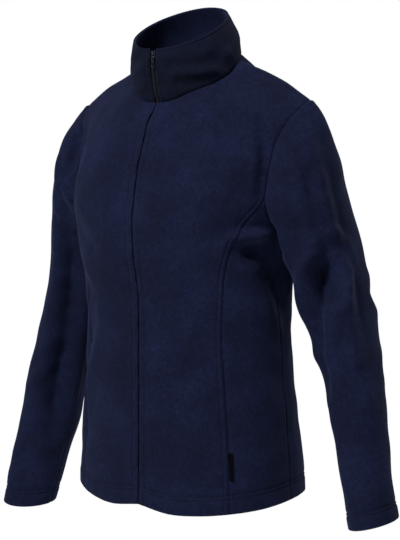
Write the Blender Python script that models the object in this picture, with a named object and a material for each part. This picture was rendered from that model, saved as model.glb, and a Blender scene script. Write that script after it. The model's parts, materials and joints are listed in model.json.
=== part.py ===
# A women's fleece zip jacket, filled out as if worn: each cut piece is a thin wall of its own, and the
# pieces meet at their seams with a hairline between them.
# The wearer faces -Y, the wearer's left is +X, and z = 0 is where the neck seam meets the shoulder seams.
# The tables below are in centimetres; everything that Blender receives is in metres.
import math

import bpy
import numpy as np

CM = 0.01

CLOTH = 0.24  # one layer of fleece
COLLAR_CLOTH = 0.45  # the collar is two layers, sewn at the rim
SEAM_GAP = 0.03  # hairline between neighbouring pieces
SET_IN_GAP = 0.15  # where collar and sleeves are set into the body, at an angle
TAPE_CLOTH = 0.08
CHAIN_CLOTH = 0.15
TAB_CLOTH = 0.09
BAG_CLOTH = 0.12
NECK_CLEARANCE = 0.2  # further room for the zip where it turns up into the collar

FRONT_EDGE = 0.13  # half the opening between the two fronts
COLLAR_EDGE = 0.60  # half the opening between the two collar ends
CHAIN_EDGE = 0.24
TAPE_EDGE = 0.27
TAPE_OUTER_EDGE = 1.40

LOWER_ROWS = 12  # hem up to where the princess seam meets the armhole
UPPER_ROWS = 9  # from there up to the shoulder
# shares of a front's width: from the centre to the shoulder seam's neck end, then along the shoulder
NECK_COLUMNS = (0.0, 0.014, 0.08, 0.16, 0.24, 0.32, 0.41, 0.5)
SHOULDER_COLUMNS = (0.62, 0.75, 0.88, 1.0)
SIDE_COLUMNS = 4
COLLAR_ROWS = 6
SLEEVE_ROWS = 19

MIRROR = np.array((-1, 1, 1))
BODY = ("front_left", "front_right", "side_front_left", "side_front_right", "back")
SEAMS = {
    "front_left": ("right", "top"),
    "front_right": ("left", "top"),
    "side_front_left": ("left", "top", "right"),
    "side_front_right": ("left", "top", "right"),
    "back": ("left", "top", "right"),
    "sleeve_left": ("bottom",),
    "sleeve_right": ("bottom",),
    "collar": ("bottom",),
}

# the zip, in centimetres; shares are of the panel's first or last row
RETAINER_SHARES = (0.02, 0.26)
RETAINER_CLOTH = 0.26
CHAIN_START = 0.27
TAPE_END = 0.2
SLIDER_LENGTH, SLIDER_WIDTH, SLIDER_PLATE = 1.1, 0.66, 0.11
SLIDER_RISE = 0.45  # middle of the slider above the end of the chain
PLATE_PLACE = CHAIN_CLOTH / 2 + SEAM_GAP + SLIDER_PLATE / 2
BRIDGE_WIDTH, BRIDGE_HEIGHT, BRIDGE_BAR, BRIDGE_REACH = 0.2, 0.2, 0.1, 0.35
AXIS_RISE = -0.2  # the pull's bar below the middle of the slider
PULL_BAR = 0.06
PULL_ARM, PULL_ARM_PLACE, PULL_EYE = 0.12, 0.2, 0.42
PULL_WIDTH, PULL_LENGTH, PULL_THICK = 0.56, 1.75, 0.12

# where the pocket bag and the tab lie, in rows and columns of their panels
BAG_ROWS = (1.1, 2, 3, 4, 5, 6.2)
BAG_COLUMNS = (5.3, 6, 7, 8, 9, 10, 10.9)
TAB_ROWS = (1.22, 1.6, 2, 2.28)
TAB_COLUMNS = (0.012, 0.13, 0.25)

JOIN_HEIGHT = -20.2  # where the princess seam meets the armhole
UNDERARM_HEIGHT = -24.0
SIDE_SEAM_TURN = 88.0
TILT = 0.10  # the hem hangs lower on the wearer's left, less so behind
TILT_BEHIND = 0.4


def table(columns, *rows):
    names = columns.split()
    return {name: np.array([row[i] for row in rows], float) for i, name in enumerate(names)}


# horizontal rings of the body; turn 0 is centre front, 90 the side, 180 centre back
TORSO = table(
    "height half_width front back front_square back_square",
    (-66.5, 18.5, 12.85, 11.6, 2.1, 2.1),
    (-62.0, 18.3, 12.85, 11.5, 2.1, 2.1),
    (-56.0, 18.0, 12.85, 11.0, 2.1, 2.1),
    (-50.0, 17.4, 12.85, 10.1, 2.1, 2.1),
    (-42.0, 16.6, 12.90, 8.9, 2.15, 2.1),
    (-35.0, 16.5, 12.95, 9.2, 2.2, 2.1),
    (-29.0, 16.9, 13.90, 9.7, 2.3, 2.2),
    (-24.0, 17.3, 14.45, 10.0, 2.35, 2.3),
    (-20.2, 17.8, 14.00, 10.1, 2.55, 2.4),
    (-17.0, 17.8, 13.30, 10.1, 2.55, 2.4),
)
# centre front and centre back above the rings
CENTRE_FRONT = table(
    "height depth",
    (-24.0, 14.45), (-20.2, 14.0), (-17.0, 13.3), (-13.1, 12.2), (-9.4, 10.8), (-6.2, 8.6),
)
CENTRE_BACK = table(
    "height depth",
    (-30.0, 9.6), (-24.0, 10.0), (-19.0, 10.1), (-14.0, 10.0), (-9.0, 9.3), (-4.0, 8.0), (1.9, 5.4),
)
HEM = table(
    "turn height",
    (0, -64.2), (15, -64.9), (30, -64.6), (45, -64.0), (60, -63.3),
    (80, -62.5), (100, -61.9), (135, -61.8), (180, -62.0),
)
PRINCESS = table(
    "height turn",
    (-66.0, 47), (-57.0, 47), (-45.0, 47), (-34.0, 48), (-29.0, 51),
    (-26.0, 56), (-23.5, 62), (-21.5, 68), (-20.2, 73),
)
NECK = table(
    "turn height",
    (0, -6.2), (20, -5.8), (38, -4.7), (70, -2.9), (88, -1.5), (104, 0.0), (135, 1.3), (180, 1.9),
)
NECK_CENTRE, NECK_HALF, NECK_FRONT, NECK_BACK = -1.2, 8.5, 7.4, 6.7
RIM_CENTRE, RIM_HALF, RIM_FRONT, RIM_BACK = -3.0, 7.1, 6.6, 6.7
RIM_FRONT_HEIGHT, RIM_BACK_HEIGHT = 1.6, 8.2
COLLAR_SWELL = 0.4
SHOULDER_POINT_TURN = 104.0
SHOULDER_TIP = np.array((20.7, 1.1, -5.8))
# how far sideways the cloth beside the neck leans in as it arrives at the neck seam
SPLAY = table("share turn", (0, 0), (0.25, 12), (0.5, 34), (0.62, 20), (1, 0))
SHOULDER_CROWN = 0.55  # how far the shoulder seam arches over a straight line
ARMHOLE_FRONT = table(
    "step x y height",
    (0.0, 17.4, -4.5, -20.2), (0.19, 17.5, -4.7, -17.4), (0.38, 17.8, -4.3, -14.6), (0.64, 18.5, -3.5, -10.8),
    (0.77, 19.2, -2.7, -9.1), (0.88, 20.0, -1.3, -7.5), (1.0, 20.7, 1.1, -5.8),
)
ARMHOLE_BACK = table(
    "step x y height",
    (0.0, 17.3, 0.4, -24.0), (0.13, 17.2, 2.8, -23.2), (0.27, 16.9, 4.7, -20.8), (0.46, 16.8, 5.7, -17.0),
    (0.65, 17.2, 5.8, -13.0), (0.83, 18.6, 4.6, -9.0), (1.0, 20.7, 1.1, -5.8),
)
# rings of the sleeve: its outer and its inner side, the middle between front and back, half its depth,
# how far out its front is turned, and how much of the armhole's own outline is left
SLEEVE = table(
    "step outer_x outer_height inner_x inner_height middle depth turned loop_share",
    (0.00, 20.7, -5.8, 17.3, -24.0, 0.4, 5.3, 0.0, 1.0),
    (0.06, 23.0, -8.2, 17.5, -25.0, 0.2, 5.9, 0.2, 0.62),
    (0.13, 24.4, -12.2, 17.7, -26.2, 0.5, 6.3, 0.3, 0.32),
    (0.21, 25.2, -17.5, 17.9, -27.6, 1.2, 6.45, 0.3, 0.12),
    (0.30, 26.0, -23.0, 18.1, -29.6, 1.9, 6.5, 0.2, 0.0),
    (0.40, 27.2, -29.0, 18.5, -32.4, 2.8, 6.5, 0.2, 0.0),
    (0.49, 28.6, -34.8, 19.1, -36.0, 3.3, 6.5, 0.2, 0.0),
    (0.58, 30.4, -40.6, 21.3, -41.2, 2.7, 5.5, 0.3, 0.0),
    (0.67, 31.8, -46.4, 23.5, -46.9, 2.1, 4.95, 0.4, 0.0),
    (0.76, 32.9, -52.2, 24.7, -52.8, 1.8, 4.6, 0.5, 0.0),
    (0.85, 34.1, -58.0, 26.4, -58.8, 1.05, 4.2, 0.5, 0.0),
    (0.95, 35.3, -63.8, 28.1, -64.8, 0.5, 3.95, 0.45, 0.0),
    (1.00, 35.8, -65.5, 28.5, -66.6, 0.4, 3.9, 0.45, 0.0),
)
CUFF_DIP = 0.8  # the cuff hangs lower in front than behind
# the large folds: soft troughs (+) and ridges (-) along a line from one point to another
FOLDS = table(
    "side x0 y0 z0 x1 y1 z1 reach depth",
    (1, 25.0, 0.0, -25.5, 22.5, -4.5, -35.5, 1.7, 0.55),
    (1, 22.0, -4.0, -34.5, 27.0, -3.0, -38.5, 1.6, 0.55),
    (1, 22.5, -3.8, -9.0, 29.0, -2.5, -36.0, 1.5, -0.35),
    (-1, 20.5, -3.5, -11.0, 21.5, -4.0, -14.0, 1.3, 0.45),
    (-1, 22.5, -3.5, -15.5, 20.5, -4.6, -19.0, 1.4, 0.5),
    (1, 14.0, -8.0, -27.5, 17.0, -1.5, -29.0, 1.5, 0.5),
)


def smooth(rows, key, column, at):
    # a smooth curve through one column of a table
    keys, values = rows[key], rows[column]
    slopes = np.gradient(values, keys)
    at = min(max(at, keys[0]), keys[-1])
    i = min(int(np.searchsorted(keys, at, side="right")) - 1, len(keys) - 2)
    span = keys[i + 1] - keys[i]
    t = (at - keys[i]) / span
    start = (2 * t**3 - 3 * t**2 + 1) * values[i] + (t**3 - 2 * t**2 + t) * span * slopes[i]
    end = (3 * t**2 - 2 * t**3) * values[i + 1] + (t**3 - t**2) * span * slopes[i + 1]
    return float(start + end)


def power(value, square):
    return math.copysign(abs(value) ** (2 / square), value)


def torso(turn, height):
    sine, cosine = math.sin(math.radians(turn)), math.cos(math.radians(turn))
    side = "front" if cosine > 0 else "back"
    square = smooth(TORSO, "height", side + "_square", height)
    x = smooth(TORSO, "height", "half_width", height) * power(sine, square)
    y = -smooth(TORSO, "height", side, height) * power(cosine, square)
    return np.array((x, y, height))


def neck(turn):
    sine, cosine = math.sin(math.radians(turn)), math.cos(math.radians(turn))
    depth = NECK_FRONT if cosine > 0 else NECK_BACK
    return np.array((NECK_HALF * sine, NECK_CENTRE - depth * cosine, smooth(NECK, "turn", "height", turn)))


def rim(turn):
    sine, cosine = math.sin(math.radians(turn)), math.cos(math.radians(turn))
    y = RIM_CENTRE - (RIM_FRONT if cosine > 0 else RIM_BACK) * cosine
    rise = (y - RIM_CENTRE + RIM_FRONT) / (RIM_FRONT + RIM_BACK)
    return np.array((RIM_HALF * sine, y, RIM_FRONT_HEIGHT + rise * (RIM_BACK_HEIGHT - RIM_FRONT_HEIGHT)))


def hem(turn):
    return smooth(HEM, "turn", "height", turn)


def point_at(rows, step):
    return np.array([smooth(rows, "step", name, step) for name in ("x", "y", "height")])


def hermite(start, start_pull, end, end_pull, t):
    return (
        (2 * t**3 - 3 * t**2 + 1) * start
        + (t**3 - 2 * t**2 + t) * start_pull
        + (3 * t**2 - 2 * t**3) * end
        + (t**3 - t**2) * end_pull
    )


def edge_turn(height):
    # how far round the ring the zip edge of a front lies
    half = smooth(TORSO, "height", "half_width", height)
    square = smooth(TORSO, "height", "front_square", height)
    return math.degrees(math.asin((FRONT_EDGE / half) ** (square / 2)))


def seam_turn(t):
    # the princess seam at a share t of the way from the hem to the armhole
    turn = 47.0
    for _ in range(6):
        height = hem(turn) + t * (JOIN_HEIGHT - hem(turn))
        turn = smooth(PRINCESS, "height", "turn", height)
    return turn


def front_lower(u, t):
    seam = seam_turn(t)
    turn = u * seam
    height = hem(turn) + t * (JOIN_HEIGHT - hem(turn))
    turn = edge_turn(height) * (1 - u) + u * seam
    return torso(turn, hem(turn) + t * (JOIN_HEIGHT - hem(turn)))


def side_lower(k, t):
    turn = seam_turn(t) * (1 - k) + SIDE_SEAM_TURN * k
    arch = math.sqrt(max(0.0, 1 - (1 - k) ** 2))
    top = JOIN_HEIGHT + (UNDERARM_HEIGHT - JOIN_HEIGHT) * arch
    return torso(turn, hem(turn) + t * (top - hem(turn)))


def back_lower(u, t):
    # u runs from centre back to the side seam
    turn = 180 + u * (SIDE_SEAM_TURN - 180)
    return torso(turn, hem(turn) + t * (UNDERARM_HEIGHT - hem(turn)))


def shoulder_seam(share):
    start = neck(SHOULDER_POINT_TURN)
    line = start + (SHOULDER_TIP - start) * share
    line[2] += SHOULDER_CROWN * 4 * share * (1 - share)
    return line


def upper(u, v, base, pull, top, top_turn, inner_edge, outer_edge):
    # a panel above the rings: columns that leave the ring upward and arrive at neck or shoulder seam
    def column(at):
        rise = np.linalg.norm(top(at) - base(at))
        lean = math.radians(top_turn(at))
        splay = math.radians(np.interp(at, SPLAY["share"], SPLAY["turn"]))
        facing = 1 if base(at)[1] < 0 else -1
        ahead = np.array((0, facing * math.sin(lean), math.cos(lean))) * math.cos(splay)
        arrive = (ahead - np.array((math.sin(splay), 0, 0))) * rise
        return hermite(base(at), pull(at) * rise, top(at), arrive, v)

    inner = (1 - u) ** 2 * (inner_edge(v) - column(0))
    outer = u**2 * (outer_edge(v) - column(1))
    return column(u) + inner + outer


def front_upper(u, v):
    def base(at):
        return front_lower(at, 1.0)

    def pull(at):
        turn = edge_turn(JOIN_HEIGHT) * (1 - at) + seam_turn(1.0) * at
        return torso(turn, JOIN_HEIGHT + 1) - torso(turn, JOIN_HEIGHT)

    def top(at):
        if at <= 0.5:
            first = math.degrees(math.asin(FRONT_EDGE / NECK_HALF))
            return neck(first + (SHOULDER_POINT_TURN - first) * at / 0.5)
        return shoulder_seam((at - 0.5) / 0.5)

    def top_turn(at):
        return np.interp(at, (0, 0.5, 1), (36, 56, 74))

    if v == 1:
        return top(u)

    def inner_edge(at):
        height = JOIN_HEIGHT + at * (NECK["height"][0] - JOIN_HEIGHT)
        return np.array((FRONT_EDGE, -smooth(CENTRE_FRONT, "height", "depth", height), height))

    def outer_edge(at):
        start = base(1.0) - point_at(ARMHOLE_FRONT, 0.0)
        return point_at(ARMHOLE_FRONT, at) + start * (1 - at) ** 3

    return upper(u, v, base, pull, top, top_turn, inner_edge, outer_edge)


def back_upper(u, v):
    def base(at):
        return back_lower(at, 1.0)

    def pull(at):
        turn = 180 + at * (SIDE_SEAM_TURN - 180)
        return torso(turn, UNDERARM_HEIGHT + 1) - torso(turn, UNDERARM_HEIGHT)

    def top(at):
        if at <= 0.5:
            return neck(180 + (SHOULDER_POINT_TURN - 180) * at / 0.5)
        return shoulder_seam((at - 0.5) / 0.5)

    def top_turn(at):
        return np.interp(at, (0, 0.5, 1), (24, 60, 74))

    if v == 1:
        return top(u)

    def inner_edge(at):
        height = UNDERARM_HEIGHT + at * (NECK["height"][-1] - UNDERARM_HEIGHT)
        return np.array((0, smooth(CENTRE_BACK, "height", "depth", height), height))

    def outer_edge(at):
        start = base(1.0) - point_at(ARMHOLE_BACK, 0.0)
        return point_at(ARMHOLE_BACK, at) + start * (1 - at) ** 3

    return upper(u, v, base, pull, top, top_turn, inner_edge, outer_edge)


def front_grid():
    columns = NECK_COLUMNS + SHOULDER_COLUMNS
    rows = [[front_lower(u, i / LOWER_ROWS) for u in columns] for i in range(LOWER_ROWS)]
    rows += [[front_upper(u, i / UPPER_ROWS) for u in columns] for i in range(UPPER_ROWS + 1)]
    return np.array(rows)


def side_grid():
    columns = [j / SIDE_COLUMNS for j in range(SIDE_COLUMNS + 1)]
    return np.array([[side_lower(k, i / LOWER_ROWS) for k in columns] for i in range(LOWER_ROWS + 1)])


def back_grid():
    half = NECK_COLUMNS[2:] + SHOULDER_COLUMNS
    columns = [-u for u in reversed(half)] + [0.0] + list(half)

    def one(function, u, t):
        point = function(abs(u), t)
        return point * MIRROR if u > 0 else point

    rows = [[one(back_lower, u, i / LOWER_ROWS) for u in columns] for i in range(LOWER_ROWS)]
    rows += [[one(back_upper, u, i / UPPER_ROWS) for u in columns] for i in range(UPPER_ROWS + 1)]
    return np.array(rows)


def sleeve_grid(front, side, back):
    # starts on the armhole, whose points are the body's own, from the shoulder tip round the front
    front_edge = front[LOWER_ROWS:, -1][::-1]
    side_edge = side[-1][1:]
    back_edge = back[LOWER_ROWS:, 0][1:]
    loop = np.vstack((front_edge, side_edge, back_edge))

    def ring(step, angle=None):
        value = {name: smooth(SLEEVE, "step", name, step) for name in SLEEVE}
        outer = np.array((value["outer_x"], value["middle"], value["outer_height"]))
        inner = np.array((value["inner_x"], value["middle"], value["inner_height"]))
        centre, across = (outer + inner) / 2, (outer - inner) / 2
        deep = np.array((value["turned"], -value["depth"], 0))
        if angle is None:
            return centre, across, deep
        return centre + across * math.cos(angle) + deep * math.sin(angle)

    centre, across, deep = ring(0.0)
    angles = []
    for point in loop:
        along = np.dot(point - centre, across) / np.dot(across, across)
        forward = np.dot(point - centre, deep) / np.dot(deep, deep)
        angle = math.atan2(forward, along)
        if angles and angle < angles[-1] - 1e-6:
            angle += 2 * math.pi
        angles.append(angle)
    angles[-1] = angles[0] + 2 * math.pi
    even = np.linspace(angles[0], angles[-1], len(angles))
    rows = []
    for i in range(SLEEVE_ROWS + 1):
        step = (i / SLEEVE_ROWS) ** 1.12
        share = smooth(SLEEVE, "step", "loop_share", step)
        dip = CUFF_DIP * max(0.0, (step - 0.85) / 0.15) ** 1.5
        row = []
        for point, angle, level in zip(loop, angles, even):
            rest = point - ring(0.0, angle)
            turn = angle * share + level * (1 - share)
            place = ring(step, turn) + rest * share
            place[2] -= dip * math.sin(turn)
            row.append(place)
        rows.append(row)
    return np.array(rows)


def collar_grid(front, back):
    # from one end of the collar round the back of the neck to the other end
    left = front[-1][1 : len(NECK_COLUMNS)]
    shoulder = len(SHOULDER_COLUMNS)
    behind = back[-1][shoulder + 1 : -shoulder - 1]
    base = np.vstack((left, behind, (left * MIRROR)[::-1]))
    rows = []
    for i in range(COLLAR_ROWS + 1):
        v = i / COLLAR_ROWS
        row = []
        for point in base:
            turn = math.degrees(math.atan2(point[0] / NECK_HALF, -(point[1] - NECK_CENTRE) / NECK_FRONT))
            top = rim(turn)
            place = point * (1 - v) + top * v
            swell = COLLAR_SWELL * 4 * v * (1 - v)
            place += swell * np.array((math.sin(math.radians(turn)), -math.cos(math.radians(turn)), 0))
            row.append(place)
        for end, sign in ((0, 1), (-1, -1)):
            row[end][0] = sign * COLLAR_EDGE
        rows.append(row)
    return np.array(rows)


def settle(grid):
    # the left side of the hem hangs lower
    share = np.clip((grid[..., 2] - UNDERARM_HEIGHT) / (HEM["height"][0] - UNDERARM_HEIGHT), 0, 1.2)
    ahead = np.clip((6 - grid[..., 1]) / 12, 0, 1)
    lowered = grid.copy()
    lowered[..., 2] -= TILT * (TILT_BEHIND + (1 - TILT_BEHIND) * ahead) * grid[..., 0] * share**2
    return lowered


def grid_normals(grid, closed=False):
    normals = np.zeros_like(grid)
    corners = (grid[:-1, :-1], grid[:-1, 1:], grid[1:, 1:], grid[1:, :-1])
    face = np.cross(corners[2] - corners[0], corners[3] - corners[1])
    normals[:-1, :-1] += face
    normals[:-1, 1:] += face
    normals[1:, 1:] += face
    normals[1:, :-1] += face
    if closed:
        wrap = normals[:, 0] + normals[:, -1]
        normals[:, 0] = wrap
        normals[:, -1] = wrap
    return normals / np.linalg.norm(normals, axis=2, keepdims=True)


def fold(grid, normals):
    moved = grid.copy()
    for i in range(len(FOLDS["side"])):
        row = {name: FOLDS[name][i] for name in FOLDS}
        start = np.array((row["side"] * row["x0"], row["y0"], row["z0"]))
        end = np.array((row["side"] * row["x1"], row["y1"], row["z1"]))
        line = end - start
        share = np.clip(((grid - start) @ line) / (line @ line), 0, 1)
        away = np.linalg.norm(grid - (start + share[..., None] * line), axis=2)
        fade = np.sin(np.pi * np.clip(share, 0.12, 0.88)) ** 0.5
        moved -= normals * (row["depth"] * fade * np.exp(-((away / row["reach"]) ** 2)))[..., None]
    return moved


def key(point):
    return tuple(np.round(point * 1e3).astype(int))


def seam_normals(panels):
    # pieces that share a seam lean their edges the same way, so that their walls mitre
    total = {}
    for grid, normals in panels:
        seen = {}
        for point, normal in zip(grid.reshape(-1, 3), normals.reshape(-1, 3)):
            seen[key(point)] = normal
        for place, normal in seen.items():
            total.setdefault(place, []).append(normal)
    return {place: (sum(found) / len(found)) for place, found in total.items()}


def wall(grid, normals, thickness, seams, gaps, gap, closed=False):
    # the outer and inner points of one piece, drawn back from the seams named in gaps
    shape = grid.shape
    direction = np.zeros(shape)
    reach = np.zeros(shape[:2])
    for i in range(shape[0]):
        for j in range(shape[1]):
            mean = seams.get(key(grid[i, j]), normals[i, j])
            length = np.linalg.norm(mean)
            direction[i, j] = mean / length
            reach[i, j] = 1 / max(length, 0.72)
    shift = np.zeros(shape)
    edges = {
        "bottom": ((0, slice(None)), 1),
        "right": ((slice(None), -1), 1),
        "top": ((-1, slice(None)), -1),
        "left": ((slice(None), 0), -1),
    }
    for name in gaps:
        place, sense = edges[name]
        tangent = np.gradient(grid[place], axis=0) * sense
        inward = np.cross(direction[place], tangent)
        inward /= np.maximum(np.linalg.norm(inward, axis=1, keepdims=True), 1e-9)
        shift[place] += inward * gap / 2
    outer = grid + shift
    inner = outer - direction * (np.reshape(thickness, (-1, 1)) * reach)[..., None]
    if closed:
        outer, inner, direction = outer[:, :-1], inner[:, :-1], direction[:, :-1]
    return outer, inner, direction


def solid(name, outer, inner, material, closed=False, seam=None):
    # one closed wall between an outer and an inner grid of points; where pieces share a seam, the narrow
    # faces of both are split along the same diagonal, chosen by the seam's own points
    rows, columns = outer.shape[:2]
    points = np.vstack((outer.reshape(-1, 3), inner.reshape(-1, 3))) * CM
    half = rows * columns
    span = columns if closed else columns - 1
    faces = []
    for i in range(rows - 1):
        for j in range(span):
            a, b = i * columns + j, i * columns + (j + 1) % columns
            c, d = b + columns, a + columns
            faces.append((a, b, c, d))
            faces.append((half + d, half + c, half + b, half + a))
    edges = [(((j + 1) % columns), j) for j in range(span)]
    top = (rows - 1) * columns
    edges += [(top + j, top + (j + 1) % columns) for j in range(span)]
    if not closed:
        edges += [(i * columns, (i + 1) * columns) for i in range(rows - 1)]
        edges += [((i + 2) * columns - 1, (i + 1) * columns - 1) for i in range(rows - 1)]
    places = None if seam is None else seam[:, :columns].reshape(-1, 3)
    for a, b in edges:
        if places is None or key(places[a]) < key(places[b]):
            faces += [(a, b, half + b), (a, half + b, half + a)]
        else:
            faces += [(a, b, half + a), (b, half + b, half + a)]
    mesh = bpy.data.meshes.new(name)
    mesh.from_pydata([tuple(point) for point in points], [], faces)
    mesh.polygons.foreach_set("use_smooth", [True] * len(mesh.polygons))
    return add(name, mesh, material)


def add(name, mesh, material):
    thing = bpy.data.objects.new(name, mesh)
    mesh.materials.append(material)
    jacket.objects.link(thing)
    return thing


def finish(name, colour, roughness, metallic=0.0):
    material = bpy.data.materials.new(name)
    material.use_nodes = True
    shader = material.node_tree.nodes["Principled BSDF"]
    shader.inputs["Base Color"].default_value = (*colour, 1)
    shader.inputs["Roughness"].default_value = roughness
    shader.inputs["Metallic"].default_value = metallic
    return material


def sample(grid, row, column):
    # a point of the grid at fractional rows and columns
    i, j = min(int(row), grid.shape[0] - 2), min(int(column), grid.shape[1] - 2)
    v, u = row - i, column - j
    low = grid[i, j] * (1 - u) + grid[i, j + 1] * u
    high = grid[i + 1, j] * (1 - u) + grid[i + 1, j + 1] * u
    return low * (1 - v) + high * v


def patch(grid, direction, rows, columns, offset, thickness):
    # a piece that follows a panel: its outer points lie at an offset outward from the panel's own
    outer = np.array([[sample(grid, row, column) for column in columns] for row in rows])
    way = np.array([[sample(direction, row, column) for column in columns] for row in rows])
    way /= np.linalg.norm(way, axis=2, keepdims=True)
    outer = outer + way * offset
    return outer, outer - way * thickness


def zip_strip(lines, edges, thickness):
    # a strip behind the centre front at the given distances x from the middle
    outer, inner = [], []
    for points, direction, depth in lines:
        row_out, row_in = [], []
        for x in edges:
            j = 0
            while j < len(points) - 2 and points[j + 1][0] < abs(x):
                j += 1
            share = (abs(x) - points[j][0]) / (points[j + 1][0] - points[j][0])
            point = points[j] + (points[j + 1] - points[j]) * share
            way = direction[j] + (direction[j + 1] - direction[j]) * share
            way = np.array((0, way[1], way[2])) / math.hypot(way[1], way[2])
            face = np.array((x, point[1], point[2])) - way * depth
            row_out.append(face)
            row_in.append(face - way * thickness)
        outer.append(row_out)
        inner.append(row_in)
    return np.array(outer), np.array(inner)


def between(low, high, share):
    return tuple(a * (1 - share) + b * share for a, b in zip(low, high))


def block(name, size, centre, taper=1.0):
    # a box in centimetres, its upper end wider or narrower by the taper
    bpy.ops.mesh.primitive_cube_add(size=1)
    shape = bpy.context.object
    shape.name = name
    for vertex in shape.data.vertices:
        wide = taper if vertex.co.z > 0 else 1.0
        x, y, z = (value * length for value, length in zip(vertex.co, size))
        vertex.co = ((x * wide + centre[0]) * CM, (y + centre[1]) * CM, (z + centre[2]) * CM)
    return shape


def bar(name, radius, length, centre):
    # a round bar along x
    bpy.ops.mesh.primitive_cylinder_add(vertices=16, radius=radius * CM, depth=length * CM)
    shape = bpy.context.object
    shape.name = name
    for vertex in shape.data.vertices:
        x, y, z = vertex.co
        vertex.co = (z + centre[0] * CM, y + centre[1] * CM, -x + centre[2] * CM)
    return shape


def assemble(name, shapes, holes, place, tilt, material):
    # the first shape joined with the others, and the holes cut from it
    body = shapes[0]
    body.name = name
    body.data.name = name
    for part in shapes[1:] + holes:
        joint = body.modifiers.new(part.name, "BOOLEAN")
        joint.operation = "UNION" if part in shapes else "DIFFERENCE"
        joint.solver = "EXACT"
        joint.object = part
    for part in [body] + shapes[1:] + holes:
        for owner in list(part.users_collection):
            owner.objects.unlink(part)
        part.location = [value * CM for value in place]
        part.rotation_euler = (tilt, 0, 0)
        if part is body:
            jacket.objects.link(part)
        else:
            cutters.objects.link(part)
            part.hide_render = True
            part.display_type = "WIRE"
    body.data.materials.append(material)


for old in list(bpy.data.objects):
    bpy.data.objects.remove(old)
jacket = bpy.data.collections.new("fleece_zip_jacket")
cutters = bpy.data.collections.new("cutters")
for group in (jacket, cutters):
    bpy.context.scene.collection.children.link(group)
fleece = finish("navy_fleece", (0.009, 0.012, 0.03), 0.95)
tape_finish = finish("navy_woven_tape", (0.006, 0.008, 0.02), 0.8)
nylon = finish("dark_nylon", (0.008, 0.01, 0.022), 0.45)
enamel = finish("dark_zinc", (0.02, 0.022, 0.03), 0.35, 0.9)
black_tape = finish("black_woven_tab", (0.004, 0.004, 0.005), 0.8)

# the pattern pieces for the wearer's left half, and their mirror images
front_base, side_base, back_base = front_grid(), side_grid(), back_grid()
sleeve_base = sleeve_grid(front_base, side_base, back_base)
collar_base = collar_grid(front_base, back_base)
bases = {
    "front_left": settle(front_base),
    "front_right": settle(front_base[:, ::-1] * MIRROR),
    "side_front_left": settle(side_base),
    "side_front_right": settle(side_base[:, ::-1] * MIRROR),
    "back": settle(back_base),
    "sleeve_left": sleeve_base,
    "sleeve_right": sleeve_base[:, ::-1] * MIRROR,
    "collar": collar_base,
}

plain = {name: (grid, grid_normals(grid, name.startswith("sleeve"))) for name, grid in bases.items()}
shared = seam_normals(plain.values())
folded = {}
for name, (grid, normals) in plain.items():
    ways = np.array([[shared[key(point)] for point in row] for row in grid])
    moved = fold(grid, ways / np.linalg.norm(ways, axis=2, keepdims=True))
    folded[name] = (moved, grid_normals(moved, name.startswith("sleeve")))
seams = seam_normals(folded.values())
pieces = {}
for name, (grid, normals) in folded.items():
    closed = name.startswith("sleeve")
    # at the neck seam the collar is drawn in to one layer
    cloth = (CLOTH,) + (COLLAR_CLOTH,) * COLLAR_ROWS if name == "collar" else CLOTH
    gap = SEAM_GAP if name in BODY else SET_IN_GAP
    pieces[name] = wall(grid, normals, cloth, seams, SEAMS[name], gap, closed)
    solid(name, pieces[name][0], pieces[name][1], fleece, closed, grid)

# the zip: rows up the left front, then up the collar, mirrored for the right tape
front, _, front_way = pieces["front_left"]
collar, _, collar_way = pieces["collar"]
behind_front = CLOTH + SEAM_GAP
behind_collar = COLLAR_CLOTH + SEAM_GAP
half_neck = len(NECK_COLUMNS)
top_row = len(front) - 1
lines = []
for i in range(top_row):
    # near the neck seam the strip already steps back to pass behind the thicker collar
    step_back = max(0.0, (i - top_row + 4) / 3) * (behind_collar - behind_front)
    lines.append((front[i], front_way[i], behind_front + step_back))
lines.append((collar[0][:half_neck], collar_way[0][:half_neck], behind_collar + NECK_CLEARANCE))
lines += [(collar[i][:half_neck], collar_way[i][:half_neck], behind_collar) for i in range(1, COLLAR_ROWS)]
rim_line = (collar[COLLAR_ROWS][:half_neck], collar_way[COLLAR_ROWS][:half_neck], behind_collar)
tape_lines = lines + [between(lines[-1], rim_line, TAPE_END)]
chain_lines = [between(lines[0], lines[1], CHAIN_START)] + lines[1:]
retainer_lines = [between(lines[0], lines[1], share) for share in RETAINER_SHARES]
tape_edges = (TAPE_EDGE, (TAPE_EDGE + TAPE_OUTER_EDGE) / 2, TAPE_OUTER_EDGE)
outer, inner = zip_strip(tape_lines, tape_edges, TAPE_CLOTH)
solid("zip_tape_left", outer, inner, tape_finish)
solid("zip_tape_right", outer[:, ::-1] * MIRROR, inner[:, ::-1] * MIRROR, tape_finish)
outer, inner = zip_strip(chain_lines, (-CHAIN_EDGE, CHAIN_EDGE), CHAIN_CLOTH)
solid("zip_chain", outer, inner, nylon)
chain_top = (outer[-1].mean(axis=0) + inner[-1].mean(axis=0)) / 2
outer, inner = zip_strip(retainer_lines, (-CHAIN_EDGE, CHAIN_EDGE), RETAINER_CLOTH)
solid("zip_retainer", outer, inner, nylon)

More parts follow.
